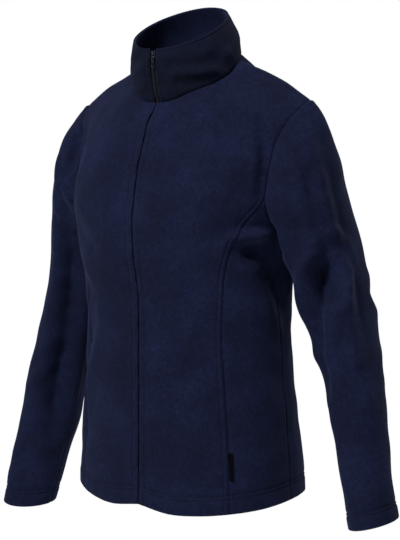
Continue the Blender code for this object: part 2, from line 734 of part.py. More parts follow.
# the slider stands at the top of the chain, leaning with the collar; y is measured out of the cloth
lean = collar[COLLAR_ROWS][0] - collar[0][0]
tilt = math.atan2(-lean[1], lean[2])
plate_face = -(PLATE_PLACE + SLIDER_PLATE / 2)
bridge_middle = plate_face - BRIDGE_HEIGHT - BRIDGE_BAR / 2
post_depth = BRIDGE_HEIGHT + BRIDGE_BAR + 0.04
post_middle = plate_face - post_depth / 2 + 0.04
bridge_size = (BRIDGE_WIDTH - 0.001, BRIDGE_BAR, 2 * BRIDGE_REACH + 0.1)
slider_shapes = [
    block("slider_front_plate", (SLIDER_WIDTH, SLIDER_PLATE, SLIDER_LENGTH), (0, -PLATE_PLACE, 0), 1.3),
    block("slider_back_plate", (SLIDER_WIDTH, SLIDER_PLATE, SLIDER_LENGTH), (0, PLATE_PLACE, 0), 1.3),
    block("slider_wedge", (0.16, 2 * PLATE_PLACE, 0.3), (0, 0, SLIDER_LENGTH / 2 - 0.17)),
    block("bridge_upper_post", (BRIDGE_WIDTH, post_depth, 0.12), (0, post_middle, BRIDGE_REACH)),
    block("bridge_lower_post", (BRIDGE_WIDTH, post_depth, 0.12), (0, post_middle, -BRIDGE_REACH)),
    block("bridge_bar", bridge_size, (0, bridge_middle + 0.001, 0)),
]
slider_place = chain_top + SLIDER_RISE * lean / np.linalg.norm(lean)
slider_place[0] = 0
assemble("zip_slider", slider_shapes, [], slider_place, tilt, enamel)

# the pull tab hangs straight down from a bar under the slider's bridge, which is the joint's axis
axis_out = plate_face - BRIDGE_HEIGHT / 2
axis_forward = axis_out * math.cos(tilt) - AXIS_RISE * math.sin(tilt)
axis_up = axis_out * math.sin(tilt) + AXIS_RISE * math.cos(tilt)
axis_place = slider_place + np.array((0, axis_forward, axis_up))
tab_middle = -(PULL_EYE + PULL_LENGTH) / 2
pull_shapes = [
    block("pull_tab", (PULL_WIDTH, PULL_THICK, PULL_LENGTH - PULL_EYE), (0, 0, tab_middle), 0.93),
    bar("pull_bar", PULL_BAR, 2 * PULL_ARM_PLACE + PULL_ARM, (0, 0, 0)),
]
for sign in (-1, 1):
    arm = (PULL_ARM - 0.004, PULL_THICK - 0.01, PULL_EYE + 0.08)
    pull_shapes.append(block("pull_arm", arm, (sign * PULL_ARM_PLACE, 0, -PULL_EYE / 2 - 0.04)))
pull_holes = [block("pull_hole", (0.26, 0.4, 0.4), (0, 0, -PULL_LENGTH + 0.38))]
assemble("zip_pull", pull_shapes, pull_holes, axis_place, 0.0, enamel)

# in-seam pocket bags behind the fronts, and the tab sewn into the left princess seam
grid, _, way = pieces["front_left"]
outer, inner = patch(grid, way, BAG_ROWS, BAG_COLUMNS, -CLOTH - SEAM_GAP - 0.02, BAG_CLOTH)
solid("pocket_bag_left", outer, inner, fleece)
grid, _, way = pieces["front_right"]
last = grid.shape[1] - 1
mirrored = [last - column for column in reversed(BAG_COLUMNS)]
outer, inner = patch(grid, way, BAG_ROWS, mirrored, -CLOTH - SEAM_GAP - 0.02, BAG_CLOTH)
solid("pocket_bag_right", outer, inner, fleece)
grid, _, way = pieces["side_front_left"]
outer, inner = patch(grid, way, TAB_ROWS, TAB_COLUMNS, SEAM_GAP + TAB_CLOTH, TAB_CLOTH)
solid("seam_tab", outer, inner, black_tape)
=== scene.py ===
# Looks of a women's fleece zip jacket, filled out as if worn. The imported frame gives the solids; this
# script gives each cut piece a fine cloth surface, its folds, stitching, zip and finishes.
# Tables are in centimetres, like the cut; Blender gets metres. The wearer faces -Y, their left is +X.
import json
import math

import bpy
import numpy as np
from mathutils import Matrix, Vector


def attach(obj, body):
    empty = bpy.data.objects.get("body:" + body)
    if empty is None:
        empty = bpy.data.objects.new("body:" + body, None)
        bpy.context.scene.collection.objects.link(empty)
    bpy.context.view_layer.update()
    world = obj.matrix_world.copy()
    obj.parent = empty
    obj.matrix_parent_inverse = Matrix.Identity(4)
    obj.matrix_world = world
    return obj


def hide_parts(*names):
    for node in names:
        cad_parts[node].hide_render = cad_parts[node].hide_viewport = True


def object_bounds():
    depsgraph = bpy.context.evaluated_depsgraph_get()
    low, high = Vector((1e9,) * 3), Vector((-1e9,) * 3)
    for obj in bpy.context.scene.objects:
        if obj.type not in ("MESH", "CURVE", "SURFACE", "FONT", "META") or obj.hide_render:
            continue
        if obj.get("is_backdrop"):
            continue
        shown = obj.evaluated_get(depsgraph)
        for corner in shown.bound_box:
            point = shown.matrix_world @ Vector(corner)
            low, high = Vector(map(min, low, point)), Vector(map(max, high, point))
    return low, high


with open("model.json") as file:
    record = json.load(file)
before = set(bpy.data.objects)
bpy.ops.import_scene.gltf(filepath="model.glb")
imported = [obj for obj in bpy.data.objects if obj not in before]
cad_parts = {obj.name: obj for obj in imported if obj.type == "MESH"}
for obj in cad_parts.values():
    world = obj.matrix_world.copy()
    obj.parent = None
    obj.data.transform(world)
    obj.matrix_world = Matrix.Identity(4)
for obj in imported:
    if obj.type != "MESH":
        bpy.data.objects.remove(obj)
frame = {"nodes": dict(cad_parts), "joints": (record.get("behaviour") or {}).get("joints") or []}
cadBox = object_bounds()
cm = 0.01
mirrored = np.array((-1, 1, 1))
hands = (("left", 1), ("right", -1))  # the wearer's sides, and the sign of x on each
sideways = np.array((1.0, 0, 0))

frontEdge = 0.13  # half the opening between the two fronts
collarEdge = 0.60  # half the opening between the two collar ends
lowerRows = 12  # hem up to where the princess seam meets the armhole
upperRows = 9  # from there up to the shoulder
# shares of a front's width: from the centre to the shoulder seam's neck end, then along the shoulder
neckColumns = (0.0, 0.014, 0.08, 0.16, 0.24, 0.32, 0.41, 0.5)
shoulderColumns = (0.62, 0.75, 0.88, 1.0)
sideColumns = 4
collarRows = 6
sleeveRows = 19
rowCrowding = 1.12  # the sleeve's rows lie closer together near the armhole

joinHeight = -20.2  # where the princess seam meets the armhole
underarmHeight = -24.0
sideSeamTurn = 88.0
hemTilt = 0.10  # the hem hangs lower on the wearer's left, less so behind
hemTiltBehind = 0.4


def table(columns, *rows):
    names = columns.split()
    return {name: np.array([row[i] for row in rows], float) for i, name in enumerate(names)}


# horizontal rings of the body; turn 0 is centre front, 90 the side, 180 centre back
torsoRings = table(
    "height halfWidth front back frontSquare backSquare",
    (-66.5, 18.5, 12.85, 11.6, 2.1, 2.1),
    (-62.0, 18.3, 12.85, 11.5, 2.1, 2.1),
    (-56.0, 18.0, 12.85, 11.0, 2.1, 2.1),
    (-50.0, 17.4, 12.85, 10.1, 2.1, 2.1),
    (-42.0, 16.6, 12.90, 8.9, 2.15, 2.1),
    (-35.0, 16.5, 12.95, 9.2, 2.2, 2.1),
    (-29.0, 16.9, 13.90, 9.7, 2.3, 2.2),
    (-24.0, 17.3, 14.45, 10.0, 2.35, 2.3),
    (-20.2, 17.8, 14.00, 10.1, 2.55, 2.4),
    (-17.0, 17.8, 13.30, 10.1, 2.55, 2.4),
)
# centre front and centre back above the rings
centreFront = table(
    "height depth",
    (-24.0, 14.45), (-20.2, 14.0), (-17.0, 13.3), (-13.1, 12.2), (-9.4, 10.8), (-6.2, 8.6),
)
centreBack = table(
    "height depth",
    (-30.0, 9.6), (-24.0, 10.0), (-19.0, 10.1), (-14.0, 10.0), (-9.0, 9.3), (-4.0, 8.0), (1.9, 5.4),
)
hemHeights = table(
    "turn height",
    (0, -64.2), (15, -64.9), (30, -64.6), (45, -64.0), (60, -63.3),
    (80, -62.5), (100, -61.9), (135, -61.8), (180, -62.0),
)
princessTurns = table(
    "height turn",
    (-66.0, 47), (-57.0, 47), (-45.0, 47), (-34.0, 48), (-29.0, 51),
    (-26.0, 56), (-23.5, 62), (-21.5, 68), (-20.2, 73),
)
neckHeights = table(
    "turn height",
    (0, -6.2), (20, -5.8), (38, -4.7), (70, -2.9), (88, -1.5), (104, 0.0), (135, 1.3), (180, 1.9),
)
neckCentre, neckHalf, neckFront, neckBack = -1.2, 8.5, 7.4, 6.7
rimCentre, rimHalf, rimFront, rimBack = -3.0, 7.1, 6.6, 6.7
rimFrontHeight, rimBackHeight = 1.6, 8.2
collarSwell = 0.4
shoulderPointTurn = 104.0
shoulderTip = np.array((20.7, 1.1, -5.8))
# how far sideways the cloth beside the neck leans in as it arrives at the neck seam
splayTurns = table("share turn", (0, 0), (0.25, 12), (0.5, 34), (0.62, 20), (1, 0))
shoulderCrown = 0.55  # how far the shoulder seam arches over a straight line
armholeFront = table(
    "step x y height",
    (0.0, 17.4, -4.5, -20.2), (0.19, 17.5, -4.7, -17.4), (0.38, 17.8, -4.3, -14.6), (0.64, 18.5, -3.5, -10.8),
    (0.77, 19.2, -2.7, -9.1), (0.88, 20.0, -1.3, -7.5), (1.0, 20.7, 1.1, -5.8),
)
armholeBack = table(
    "step x y height",
    (0.0, 17.3, 0.4, -24.0), (0.13, 17.2, 2.8, -23.2), (0.27, 16.9, 4.7, -20.8), (0.46, 16.8, 5.7, -17.0),
    (0.65, 17.2, 5.8, -13.0), (0.83, 18.6, 4.6, -9.0), (1.0, 20.7, 1.1, -5.8),
)
# rings of the sleeve: its outer and its inner side, the middle between front and back, half its depth,
# how far out its front is turned, and how much of the armhole's own outline is left
sleeveRings = table(
    "step outerX outerHeight innerX innerHeight middle depth turned loopShare",
    (0.00, 20.7, -5.8, 17.3, -24.0, 0.4, 5.3, 0.0, 1.0),
    (0.06, 23.0, -8.2, 17.5, -25.0, 0.2, 5.9, 0.2, 0.62),
    (0.13, 24.4, -12.2, 17.7, -26.2, 0.5, 6.3, 0.3, 0.32),
    (0.21, 25.2, -17.5, 17.9, -27.6, 1.2, 6.45, 0.3, 0.12),
    (0.30, 26.0, -23.0, 18.1, -29.6, 1.9, 6.5, 0.2, 0.0),
    (0.40, 27.2, -29.0, 18.5, -32.4, 2.8, 6.5, 0.2, 0.0),
    (0.49, 28.6, -34.8, 19.1, -36.0, 3.3, 6.5, 0.2, 0.0),
    (0.58, 30.4, -40.6, 21.3, -41.2, 2.7, 5.5, 0.3, 0.0),
    (0.67, 31.8, -46.4, 23.5, -46.9, 2.1, 4.95, 0.4, 0.0),
    (0.76, 32.9, -52.2, 24.7, -52.8, 1.8, 4.6, 0.5, 0.0),
    (0.85, 34.1, -58.0, 26.4, -58.8, 1.05, 4.2, 0.5, 0.0),
    (0.95, 35.3, -63.8, 28.1, -64.8, 0.5, 3.95, 0.45, 0.0),
    (1.00, 35.8, -65.5, 28.5, -66.6, 0.4, 3.9, 0.45, 0.0),
)
cuffDip = 0.8  # the cuff hangs lower in front than behind


def hermite(start, startPull, end, endPull, t):
    # a curve between two points with a given pull at each; numbers or arrays
    return (
        (2 * t**3 - 3 * t**2 + 1) * start
        + (t**3 - 2 * t**2 + t) * startPull
        + (3 * t**2 - 2 * t**3) * end
        + (t**3 - t**2) * endPull
    )


def smooth(rows, key, column, at):
    # a smooth curve through one column of a table
    keys, values = rows[key], rows[column]
    at = min(max(at, keys[0]), keys[-1])
    i = min(int(np.searchsorted(keys, at, side="right")) - 1, len(keys) - 2)
    span = keys[i + 1] - keys[i]
    pulls = np.gradient(values, keys) * span
    return float(hermite(values[i], pulls[i], values[i + 1], pulls[i + 1], (at - keys[i]) / span))


def power(value, square):
    return math.copysign(abs(value) ** (2 / square), value)


def sineCosine(turn):
    return math.sin(math.radians(turn)), math.cos(math.radians(turn))


def torso(turn, height):
    sine, cosine = sineCosine(turn)
    side = "front" if cosine > 0 else "back"
    square = smooth(torsoRings, "height", side + "Square", height)
    x = smooth(torsoRings, "height", "halfWidth", height) * power(sine, square)
    y = -smooth(torsoRings, "height", side, height) * power(cosine, square)
    return np.array((x, y, height))


def neck(turn):
    sine, cosine = sineCosine(turn)
    depth = neckFront if cosine > 0 else neckBack
    return np.array((neckHalf * sine, neckCentre - depth * cosine, smooth(neckHeights, "turn", "height", turn)))


def rim(turn):
    sine, cosine = sineCosine(turn)
    y = rimCentre - (rimFront if cosine > 0 else rimBack) * cosine
    rise = (y - rimCentre + rimFront) / (rimFront + rimBack)
    return np.array((rimHalf * sine, y, rimFrontHeight + rise * (rimBackHeight - rimFrontHeight)))


def hem(turn):
    return smooth(hemHeights, "turn", "height", turn)


def pointAt(rows, step):
    return np.array([smooth(rows, "step", name, step) for name in ("x", "y", "height")])


def edgeTurn(height):
    # how far round the ring the zip edge of a front lies
    half = smooth(torsoRings, "height", "halfWidth", height)
    square = smooth(torsoRings, "height", "frontSquare", height)
    return math.degrees(math.asin((frontEdge / half) ** (square / 2)))


def seamTurn(t):
    # the princess seam at a share t of the way from the hem to the armhole
    turn = 47.0
    for _ in range(6):
        height = hem(turn) + t * (joinHeight - hem(turn))
        turn = smooth(princessTurns, "height", "turn", height)
    return turn


def frontLower(u, t):
    seam = seamTurn(t)
    turn = u * seam
    height = hem(turn) + t * (joinHeight - hem(turn))
    turn = edgeTurn(height) * (1 - u) + u * seam
    return torso(turn, hem(turn) + t * (joinHeight - hem(turn)))


def sideLower(k, t):
    turn = seamTurn(t) * (1 - k) + sideSeamTurn * k
    arch = math.sqrt(max(0.0, 1 - (1 - k) ** 2))
    top = joinHeight + (underarmHeight - joinHeight) * arch
    return torso(turn, hem(turn) + t * (top - hem(turn)))


def backLower(u, t):
    # u runs from centre back to the side seam
    turn = 180 + u * (sideSeamTurn - 180)
    return torso(turn, hem(turn) + t * (underarmHeight - hem(turn)))


def shoulderSeam(share):
    start = neck(shoulderPointTurn)
    line = start + (shoulderTip - start) * share
    line[2] += shoulderCrown * 4 * share * (1 - share)
    return line


# the parts above the rings: where each starts, its edge at the centre, how its cloth leans as it arrives at
# the neck, halfway and at the shoulder tip, and its armhole
upperFront = {
    "base": joinHeight, "neckHeight": neckHeights["height"][0], "centre": centreFront, "facing": -1, "edge": frontEdge,
    "neckTurn": math.degrees(math.asin(frontEdge / neckHalf)), "centreTurn": edgeTurn(joinHeight),
    "seamTurn": seamTurn(1.0), "leans": (36, 56, 74), "armhole": armholeFront,
}
upperBack = {
    "base": underarmHeight, "neckHeight": neckHeights["height"][-1], "centre": centreBack, "facing": 1, "edge": 0.0,
    "neckTurn": 180, "centreTurn": 180, "seamTurn": sideSeamTurn, "leans": (24, 60, 74), "armhole": armholeBack,
}


def upper(u, v, lower, part):
    # columns that leave the ring upward and arrive at neck or shoulder seam
    def top(at):
        if at <= 0.5:
            return neck(part["neckTurn"] + (shoulderPointTurn - part["neckTurn"]) * at / 0.5)
        return shoulderSeam((at - 0.5) / 0.5)

    def column(at):
        start, end = lower(at, 1.0), top(at)
        turn = part["centreTurn"] * (1 - at) + part["seamTurn"] * at
        pull = torso(turn, part["base"] + 1) - torso(turn, part["base"])
        rise = np.linalg.norm(end - start)
        lean = math.radians(np.interp(at, (0, 0.5, 1), part["leans"]))
        splay = math.radians(np.interp(at, splayTurns["share"], splayTurns["turn"]))
        facing = 1 if start[1] < 0 else -1
        ahead = np.array((0, facing * math.sin(lean), math.cos(lean))) * math.cos(splay)
        arrive = (ahead - sideways * math.sin(splay)) * rise
        return hermite(start, pull * rise, end, arrive, v)

    if v == 1:
        return top(u)
    height = part["base"] + v * (part["neckHeight"] - part["base"])
    y = part["facing"] * smooth(part["centre"], "height", "depth", height)
    innerEdge = np.array((part["edge"], y, height))
    gap = lower(1.0, 1.0) - pointAt(part["armhole"], 0.0)
    outerEdge = pointAt(part["armhole"], v) + gap * (1 - v) ** 3
    return column(u) + (1 - u) ** 2 * (innerEdge - column(0)) + u**2 * (outerEdge - column(1))


def bodyGrid(columns, lower, part):
    rows = [[lower(u, i / lowerRows) for u in columns] for i in range(lowerRows)]
    rows += [[upper(u, i / upperRows, lower, part) for u in columns] for i in range(upperRows + 1)]
    return np.array(rows)


def sleeveGrid(front, side, back):
    # starts on the armhole, whose points are the body's own, from the shoulder tip round the front
    loop = np.vstack((front[lowerRows:, -1][::-1], side[-1][1:], back[lowerRows:, 0][1:]))

    def ring(step):
        value = {name: smooth(sleeveRings, "step", name, step) for name in sleeveRings}
        outer = np.array((value["outerX"], value["middle"], value["outerHeight"]))
        inner = np.array((value["innerX"], value["middle"], value["innerHeight"]))
        return (outer + inner) / 2, (outer - inner) / 2, np.array((value["turned"], -value["depth"], 0))

    def around(centre, across, deep, angle):
        return centre + across * math.cos(angle) + deep * math.sin(angle)

    armhole = ring(0.0)
    centre, across, deep = armhole
    angles = []
    for point in loop:
        along = np.dot(point - centre, across) / np.dot(across, across)
        forward = np.dot(point - centre, deep) / np.dot(deep, deep)
        angle = math.atan2(forward, along)
        if angles and angle < angles[-1] - 1e-6:
            angle += 2 * math.pi
        angles.append(angle)
    angles[-1] = angles[0] + 2 * math.pi
    even = np.linspace(angles[0], angles[-1], len(angles))
    rows = []
    for i in range(sleeveRows + 1):
        step = (i / sleeveRows) ** rowCrowding
        share = smooth(sleeveRings, "step", "loopShare", step)
        dip = cuffDip * max(0.0, (step - 0.85) / 0.15) ** 1.5
        here = ring(step)
        row = []
        for point, angle, level in zip(loop, angles, even):
            turn = angle * share + level * (1 - share)
            spot = around(*here, turn) + (point - around(*armhole, angle)) * share
            spot[2] -= dip * math.sin(turn)
            row.append(spot)
        rows.append(row)
    return np.array(rows)


def collarGrid(front, back):
    # from one end of the collar round the back of the neck to the other end
    left = front[-1][1 : len(neckColumns)]
    shoulder = len(shoulderColumns)
    behind = back[-1][shoulder + 1 : -shoulder - 1]
    base = np.vstack((left, behind, (left * mirrored)[::-1]))
    rows = []
    for i in range(collarRows + 1):
        v = i / collarRows
        row = []
        for point in base:
            turn = math.degrees(math.atan2(point[0] / neckHalf, -(point[1] - neckCentre) / neckFront))
            sine, cosine = sineCosine(turn)
            swell = collarSwell * 4 * v * (1 - v)
            row.append(point * (1 - v) + rim(turn) * v + swell * np.array((sine, -cosine, 0)))
        row[0][0], row[-1][0] = collarEdge, -collarEdge
        rows.append(row)
    return np.array(rows)


def settle(grid):
    # the left side of the hem hangs lower
    share = np.clip((grid[..., 2] - underarmHeight) / (hemHeights["height"][0] - underarmHeight), 0, 1.2)
    ahead = np.clip((6 - grid[..., 1]) / 12, 0, 1)
    lowered = grid.copy()
    lowered[..., 2] -= hemTilt * (hemTiltBehind + (1 - hemTiltBehind) * ahead) * grid[..., 0] * share**2
    return lowered


def onSide(grid, sign):
    # the left piece, or its mirror image on the right
    return grid if sign > 0 else grid[:, ::-1] * mirrored


def unit(vectors):
    return vectors / np.maximum(np.linalg.norm(vectors, axis=-1, keepdims=True), 1e-9)


def faceWays(grid):
    # each face's own way outward, as long as twice its area
    return np.cross(grid[1:, 1:] - grid[:-1, :-1], grid[1:, :-1] - grid[:-1, 1:])


def surfaceNormals(grid, closed=False):
    # the way outward at each point, evened out over its neighbours
    face = faceWays(grid)
    normals = np.zeros_like(grid)
    for rows in (slice(None, -1), slice(1, None)):
        for columns in (slice(None, -1), slice(1, None)):
            normals[rows, columns] += face
    if closed:
        normals[:, 0] = normals[:, -1] = normals[:, 0] + normals[:, -1]
    normals = unit(normals)
    for _ in range(2):
        normals[1:-1, 1:-1] = (
            2 * normals[1:-1, 1:-1] + normals[:-2, 1:-1] + normals[2:, 1:-1]
            + normals[1:-1, :-2] + normals[1:-1, 2:]
        )
        normals = unit(normals)
    return normals


def spline(values, keys, at, axis=0):
    # a smooth curve through rows of points, met at the given keys
    slopes = np.gradient(values, keys, axis=axis)
    index = np.clip(np.searchsorted(keys, at, side="right") - 1, 0, len(keys) - 2)
    span = keys[index + 1] - keys[index]
    shape = [1] * values.ndim
    shape[axis] = len(at)
    t, span = ((at - keys[index]) / span).reshape(shape), span.reshape(shape)
    low, high, lowSlope, highSlope = (
        np.take(source, place, axis) for source in (values, slopes) for place in (index, index + 1)
    )
    return hermite(low, span * lowSlope, high, span * highSlope, t)


def travelled(path):
    # distance along a path, from its first point
    return np.concatenate(([0], np.cumsum(np.linalg.norm(np.diff(path, axis=0), axis=1))))


def alongRows(grid):
    return np.array([travelled(row) for row in grid])


fineFactor = 8  # fine steps to each coarse one


def refine(grid, closed=False):
    # a smooth grid through the coarse one, first along its rows, then along its columns
    for axis in (1, 0):
        steps = np.linalg.norm(np.diff(grid, axis=axis), axis=2).mean(axis=1 - axis)
        keys = np.concatenate(([0], np.cumsum(steps)))
        source = grid
        if closed and axis == 1:
            turn = keys[-1]
            source = np.concatenate((grid[:, -4:-1], grid, grid[:, 1:4]), axis=1)
            keys = np.concatenate((keys[-4:-1] - turn, keys, keys[1:4] + turn))
            inside = keys[3:-3]
        else:
            inside = keys
        pairs = zip(inside, inside[1:])
        fine = np.concatenate([np.linspace(low, high, fineFactor, endpoint=False) for low, high in pairs])
        grid = spline(source, keys, np.append(fine, inside[-1]), axis)
    return grid


def spread(length, nearStart, nearEnd, count):
    middle = np.linspace(nearStart[-1], length - nearEnd[-1], count + 2)[1:-1]
    return np.concatenate((nearStart, middle, length - np.array(nearEnd)[::-1]))


def respace(grid, nearStart, nearEnd, step):
    # columns at the given distances from both ends of each row, and even ones between
    travel = alongRows(grid)
    count = max(3, int(round((travel[:, -1].max() - nearStart[-1] - nearEnd[-1]) / step)))
    rows = []
    for line, distance in zip(grid, travel):
        length = distance[-1]
        ends = max(nearStart[-1] + nearEnd[-1], 1e-6)
        shrink = min(1.0, 0.8 * length / ends)
        at = spread(length, np.array(nearStart) * shrink, np.array(nearEnd) * shrink, count)
        rows.append(np.stack([np.interp(at, distance, line[:, k]) for k in range(3)], axis=1))
    return np.array(rows)


def turnAbout(grid):
    return grid.transpose(1, 0, 2)


def distances(grid):
    # how far each point is from the left, right, bottom and top edges, along the cloth
    across = alongRows(grid)
    upward = alongRows(turnAbout(grid)).T
    return across, across[:, -1:] - across, upward, upward[-1:] - upward


# soft troughs (+) and ridges (-) along a line from one point to another, on the wearer's left (1) or right (-1)
foldLines = table(
    "side x0 y0 z0 x1 y1 z1 reach depth",
    (1, 26.4, -1.2, -28.0, 25.4, -3.0, -33.5, 1.7, 1.5),  # left elbow, in front of the long ridge
    (1, 25.6, -2.8, -31.5, 23.4, -2.8, -39.5, 1.8, 1.5),
    (1, 24.0, -2.6, -37.5, 25.6, -2.4, -47.0, 1.3, 0.5),
    (1, 22.4, -2.8, -10.5, 25.0, -1.9, -20.0, 1.1, -0.26),  # long ridge down the left sleeve
    (1, 24.7, -2.0, -17.5, 26.0, -0.4, -27.5, 1.1, -0.38),
    (1, 25.9, -0.4, -25.5, 27.8, -0.1, -35.0, 1.1, -0.42),
    (1, 27.4, -0.2, -33.0, 30.0, -0.8, -43.0, 1.1, -0.36),
    (1, 14.4, -8.6, -25.6, 17.4, -4.4, -25.6, 0.8, -0.5),  # the left underarm: a sharp lip, hollow beneath it
    (1, 16.6, -6.0, -25.7, 19.6, -3.8, -25.9, 0.8, -0.4),
    (1, 14.6, -8.2, -27.8, 17.2, -4.2, -27.9, 1.3, 0.95),
    (1, 16.0, -5.4, -28.4, 16.8, -1.6, -32.0, 1.7, 0.9),
    (1, 16.6, -1.8, -31.0, 16.4, 1.0, -37.5, 1.6, 0.6),
    (1, 18.2, -3.6, -26.2, 19.7, -3.8, -27.6, 0.7, -0.3),
    (1, 14.6, -7.8, -35.5, 16.2, -1.0, -37.5, 1.3, -0.18),
    (1, 19.8, -4.8, -12.4, 20.9, -5.0, -16.6, 0.85, 0.34),  # mottled dents down the left sleeve
    (1, 21.1, -5.1, -17.6, 22.0, -5.2, -21.0, 0.9, 0.36),
    (1, 21.8, -4.9, -22.6, 22.9, -4.6, -25.8, 0.9, 0.36),
    (1, 23.6, -3.4, -15.6, 24.2, -3.2, -19.4, 0.8, 0.22),
    (1, 28.4, -1.6, -44.0, 30.6, -1.8, -47.5, 1.1, 0.28),
    (1, 26.4, -2.8, -47.0, 29.8, -2.4, -48.5, 0.9, -0.2),
    (1, 28.0, -2.9, -52.0, 30.5, -2.6, -55.0, 1.2, 0.22),
    (1, 29.0, -3.4, -59.0, 33.0, -2.4, -60.6, 1.1, 0.2),
    (1, 16.0, -4.7, -9.0, 17.2, -5.4, -14.5, 0.8, 0.3),  # beside the left armhole
    (1, 17.1, -5.4, -13.5, 17.0, -6.0, -19.5, 0.8, 0.26),
    (1, 12.5, -11.3, -17.5, 13.6, -9.4, -8.5, 1.5, 0.2),
    (1, 9.0, -12.9, -26.5, 15.4, -9.0, -24.0, 1.3, 0.16),
    (1, 12.0, -10.2, -39.0, 15.8, -5.4, -45.0, 2.2, 0.26),  # waist, left
    (1, 13.6, -9.2, -52.0, 16.6, -4.6, -47.0, 1.8, -0.22),
    (1, 5.0, -12.9, -48.0, 11.5, -11.0, -43.0, 2.0, 0.16),
    (1, 3.2, -11.5, -11.0, 6.8, -9.0, -8.0, 0.9, 0.14),  # under the collar
    (-1, 3.0, -11.8, -12.0, 6.4, -9.4, -8.2, 0.9, 0.16),
    (1, 3.0, -8.8, -0.9, 7.8, -4.6, -0.2, 0.8, 0.3),  # the collar buckles where it turns
    (1, 3.6, -8.5, -2.1, 7.4, -5.2, -1.6, 0.7, -0.22),
    (1, 3.8, -8.2, -3.4, 7.4, -5.0, -3.0, 0.7, 0.28),
    (1, 7.6, -4.6, 0.6, 8.2, -1.6, -1.4, 0.9, 0.26),
    (-1, 2.2, -9.4, 0.4, 5.8, -7.2, -1.2, 0.9, 0.26),
    (-1, 2.6, -9.0, -2.6, 5.6, -7.0, -3.0, 0.8, 0.22),
    (-1, 18.9, -3.4, -9.8, 19.1, -5.0, -15.6, 0.7, 0.5),  # a narrow dent down the right armhole
    (-1, 16.3, -5.3, -10.8, 16.2, -7.2, -16.4, 1.2, 0.34),
    (-1, 21.4, -4.8, -15.0, 19.3, -5.6, -18.4, 0.9, 0.55),  # dents over the right sleeve
    (-1, 20.8, -5.5, -17.4, 18.9, -5.6, -20.0, 0.6, -0.3),
    (-1, 20.8, -5.6, -19.8, 19.3, -5.3, -23.4, 0.9, 0.55),
    (-1, 21.8, -5.0, -23.4, 20.0, -4.8, -26.4, 0.9, 0.32),
    (-1, 20.2, -3.6, -25.5, 21.4, -2.4, -36.0, 1.3, 0.75),  # down the right sleeve's inner side
    (-1, 21.8, -2.4, -34.5, 24.0, -1.2, -46.0, 1.5, 0.8),
    (-1, 24.0, -1.4, -44.0, 26.4, -0.8, -55.0, 1.6, 0.95),
    (-1, 15.0, -9.0, -14.0, 16.6, -7.0, -24.0, 1.2, 0.24),
    (-1, 11.0, -11.8, -35.0, 15.0, -7.8, -29.5, 1.5, 0.28),
    (-1, 8.0, -12.6, -37.0, 15.0, -8.2, -54.0, 1.6, -0.26),
    (-1, 10.5, -11.6, -38.0, 16.0, -6.2, -50.0, 1.4, 0.26),
    (-1, 6.0, -12.8, -29.0, 12.0, -11.4, -25.0, 1.4, 0.18),
    (-1, 26.4, -3.4, -46.0, 29.6, -2.0, -48.5, 1.0, -0.22),
    (-1, 28.5, -3.6, -57.0, 32.4, -2.0, -61.0, 1.1, 0.2),
    (1, 24.6, 7.4, -30.0, 20.2, 6.6, -24.0, 1.5, 0.4),  # behind the arms and across the back
    (1, 21.5, 7.6, -36.5, 27.5, 7.6, -33.5, 1.4, 0.42),
    (1, 24.0, 6.6, -42.0, 29.5, 6.0, -44.5, 1.2, 0.3),
    (-1, 24.6, 7.4, -29.0, 20.2, 6.6, -23.0, 1.5, 0.36),
    (-1, 21.5, 7.6, -35.0, 27.5, 7.6, -37.5, 1.4, 0.42),
    (-1, 24.5, 6.6, -43.5, 29.5, 6.0, -41.5, 1.2, 0.3),
    (1, 16.0, 4.6, -25.0, 9.5, 9.2, -33.0, 1.8, 0.3),
    (-1, 16.0, 4.6, -26.0, 8.0, 9.4, -34.5, 1.8, 0.32),
    (1, 14.8, 5.2, -40.0, 4.0, 8.9, -44.5, 1.7, 0.26),
    (-1, 15.0, 5.0, -41.5, 3.0, 8.9, -43.0, 1.5, 0.3),
    (1, 10.0, 9.0, -13.0, 12.8, 8.2, -22.0, 1.6, 0.22),
    (-1, 10.4, 9.0, -12.0, 13.0, 8.2, -21.0, 1.6, 0.2),
)
folds = {"strength": 1.35, "waveDepth": 0.075, "waveLengths": (11.0, 7.0, 4.2), "wavesEach": 5, "seed": 7}


def softWaves(points):
    # slow, uneven swells of the cloth: a few waves in fixed random directions
    draw = np.random.default_rng(folds["seed"])
    height = np.zeros(points.shape[:-1])
    for length in folds["waveLengths"]:
        for _ in range(folds["wavesEach"]):
            way = draw.normal(size=3)
            way /= np.linalg.norm(way)
            phase = draw.uniform(0, 2 * math.pi)
            height += np.sin(points @ way * 2 * math.pi / length + phase) * length / folds["waveLengths"][0]
    return height * folds["waveDepth"] / math.sqrt(folds["wavesEach"])


def fold(grid, ways):
    total = np.zeros(grid.shape[:2])
    for side, x0, y0, z0, x1, y1, z1, reach, depth in zip(*foldLines.values()):
        start = np.array((side * x0, y0, z0))
        line = np.array((side * x1, y1, z1)) - start
        share = np.clip(((grid - start) @ line) / (line @ line), 0, 1)
        away = np.linalg.norm(grid - (start + share[..., None] * line), axis=2) / reach
        fade = np.sin(np.pi * np.clip(share, 0.12, 0.88)) ** 0.5
        # a trough has a soft lip on both sides, where the cloth is pushed up
        total += depth * fade * (np.exp(-(away**2)) - 0.28 * np.exp(-((away - 1.9) ** 2) * 2.2))
    return grid + ways * (softWaves(grid) - folds["strength"] * total)[..., None]


def ridge(distance, middle, reach, height):
    # a soft ridge along an edge; a groove has a height below zero
    return height * np.exp(-(((distance - middle) / reach) ** 2))


def rising(distance, middle, reach):
    # from 0 to 1, past the middle
    return 1 / (1 + np.exp(-(distance - middle) / reach))


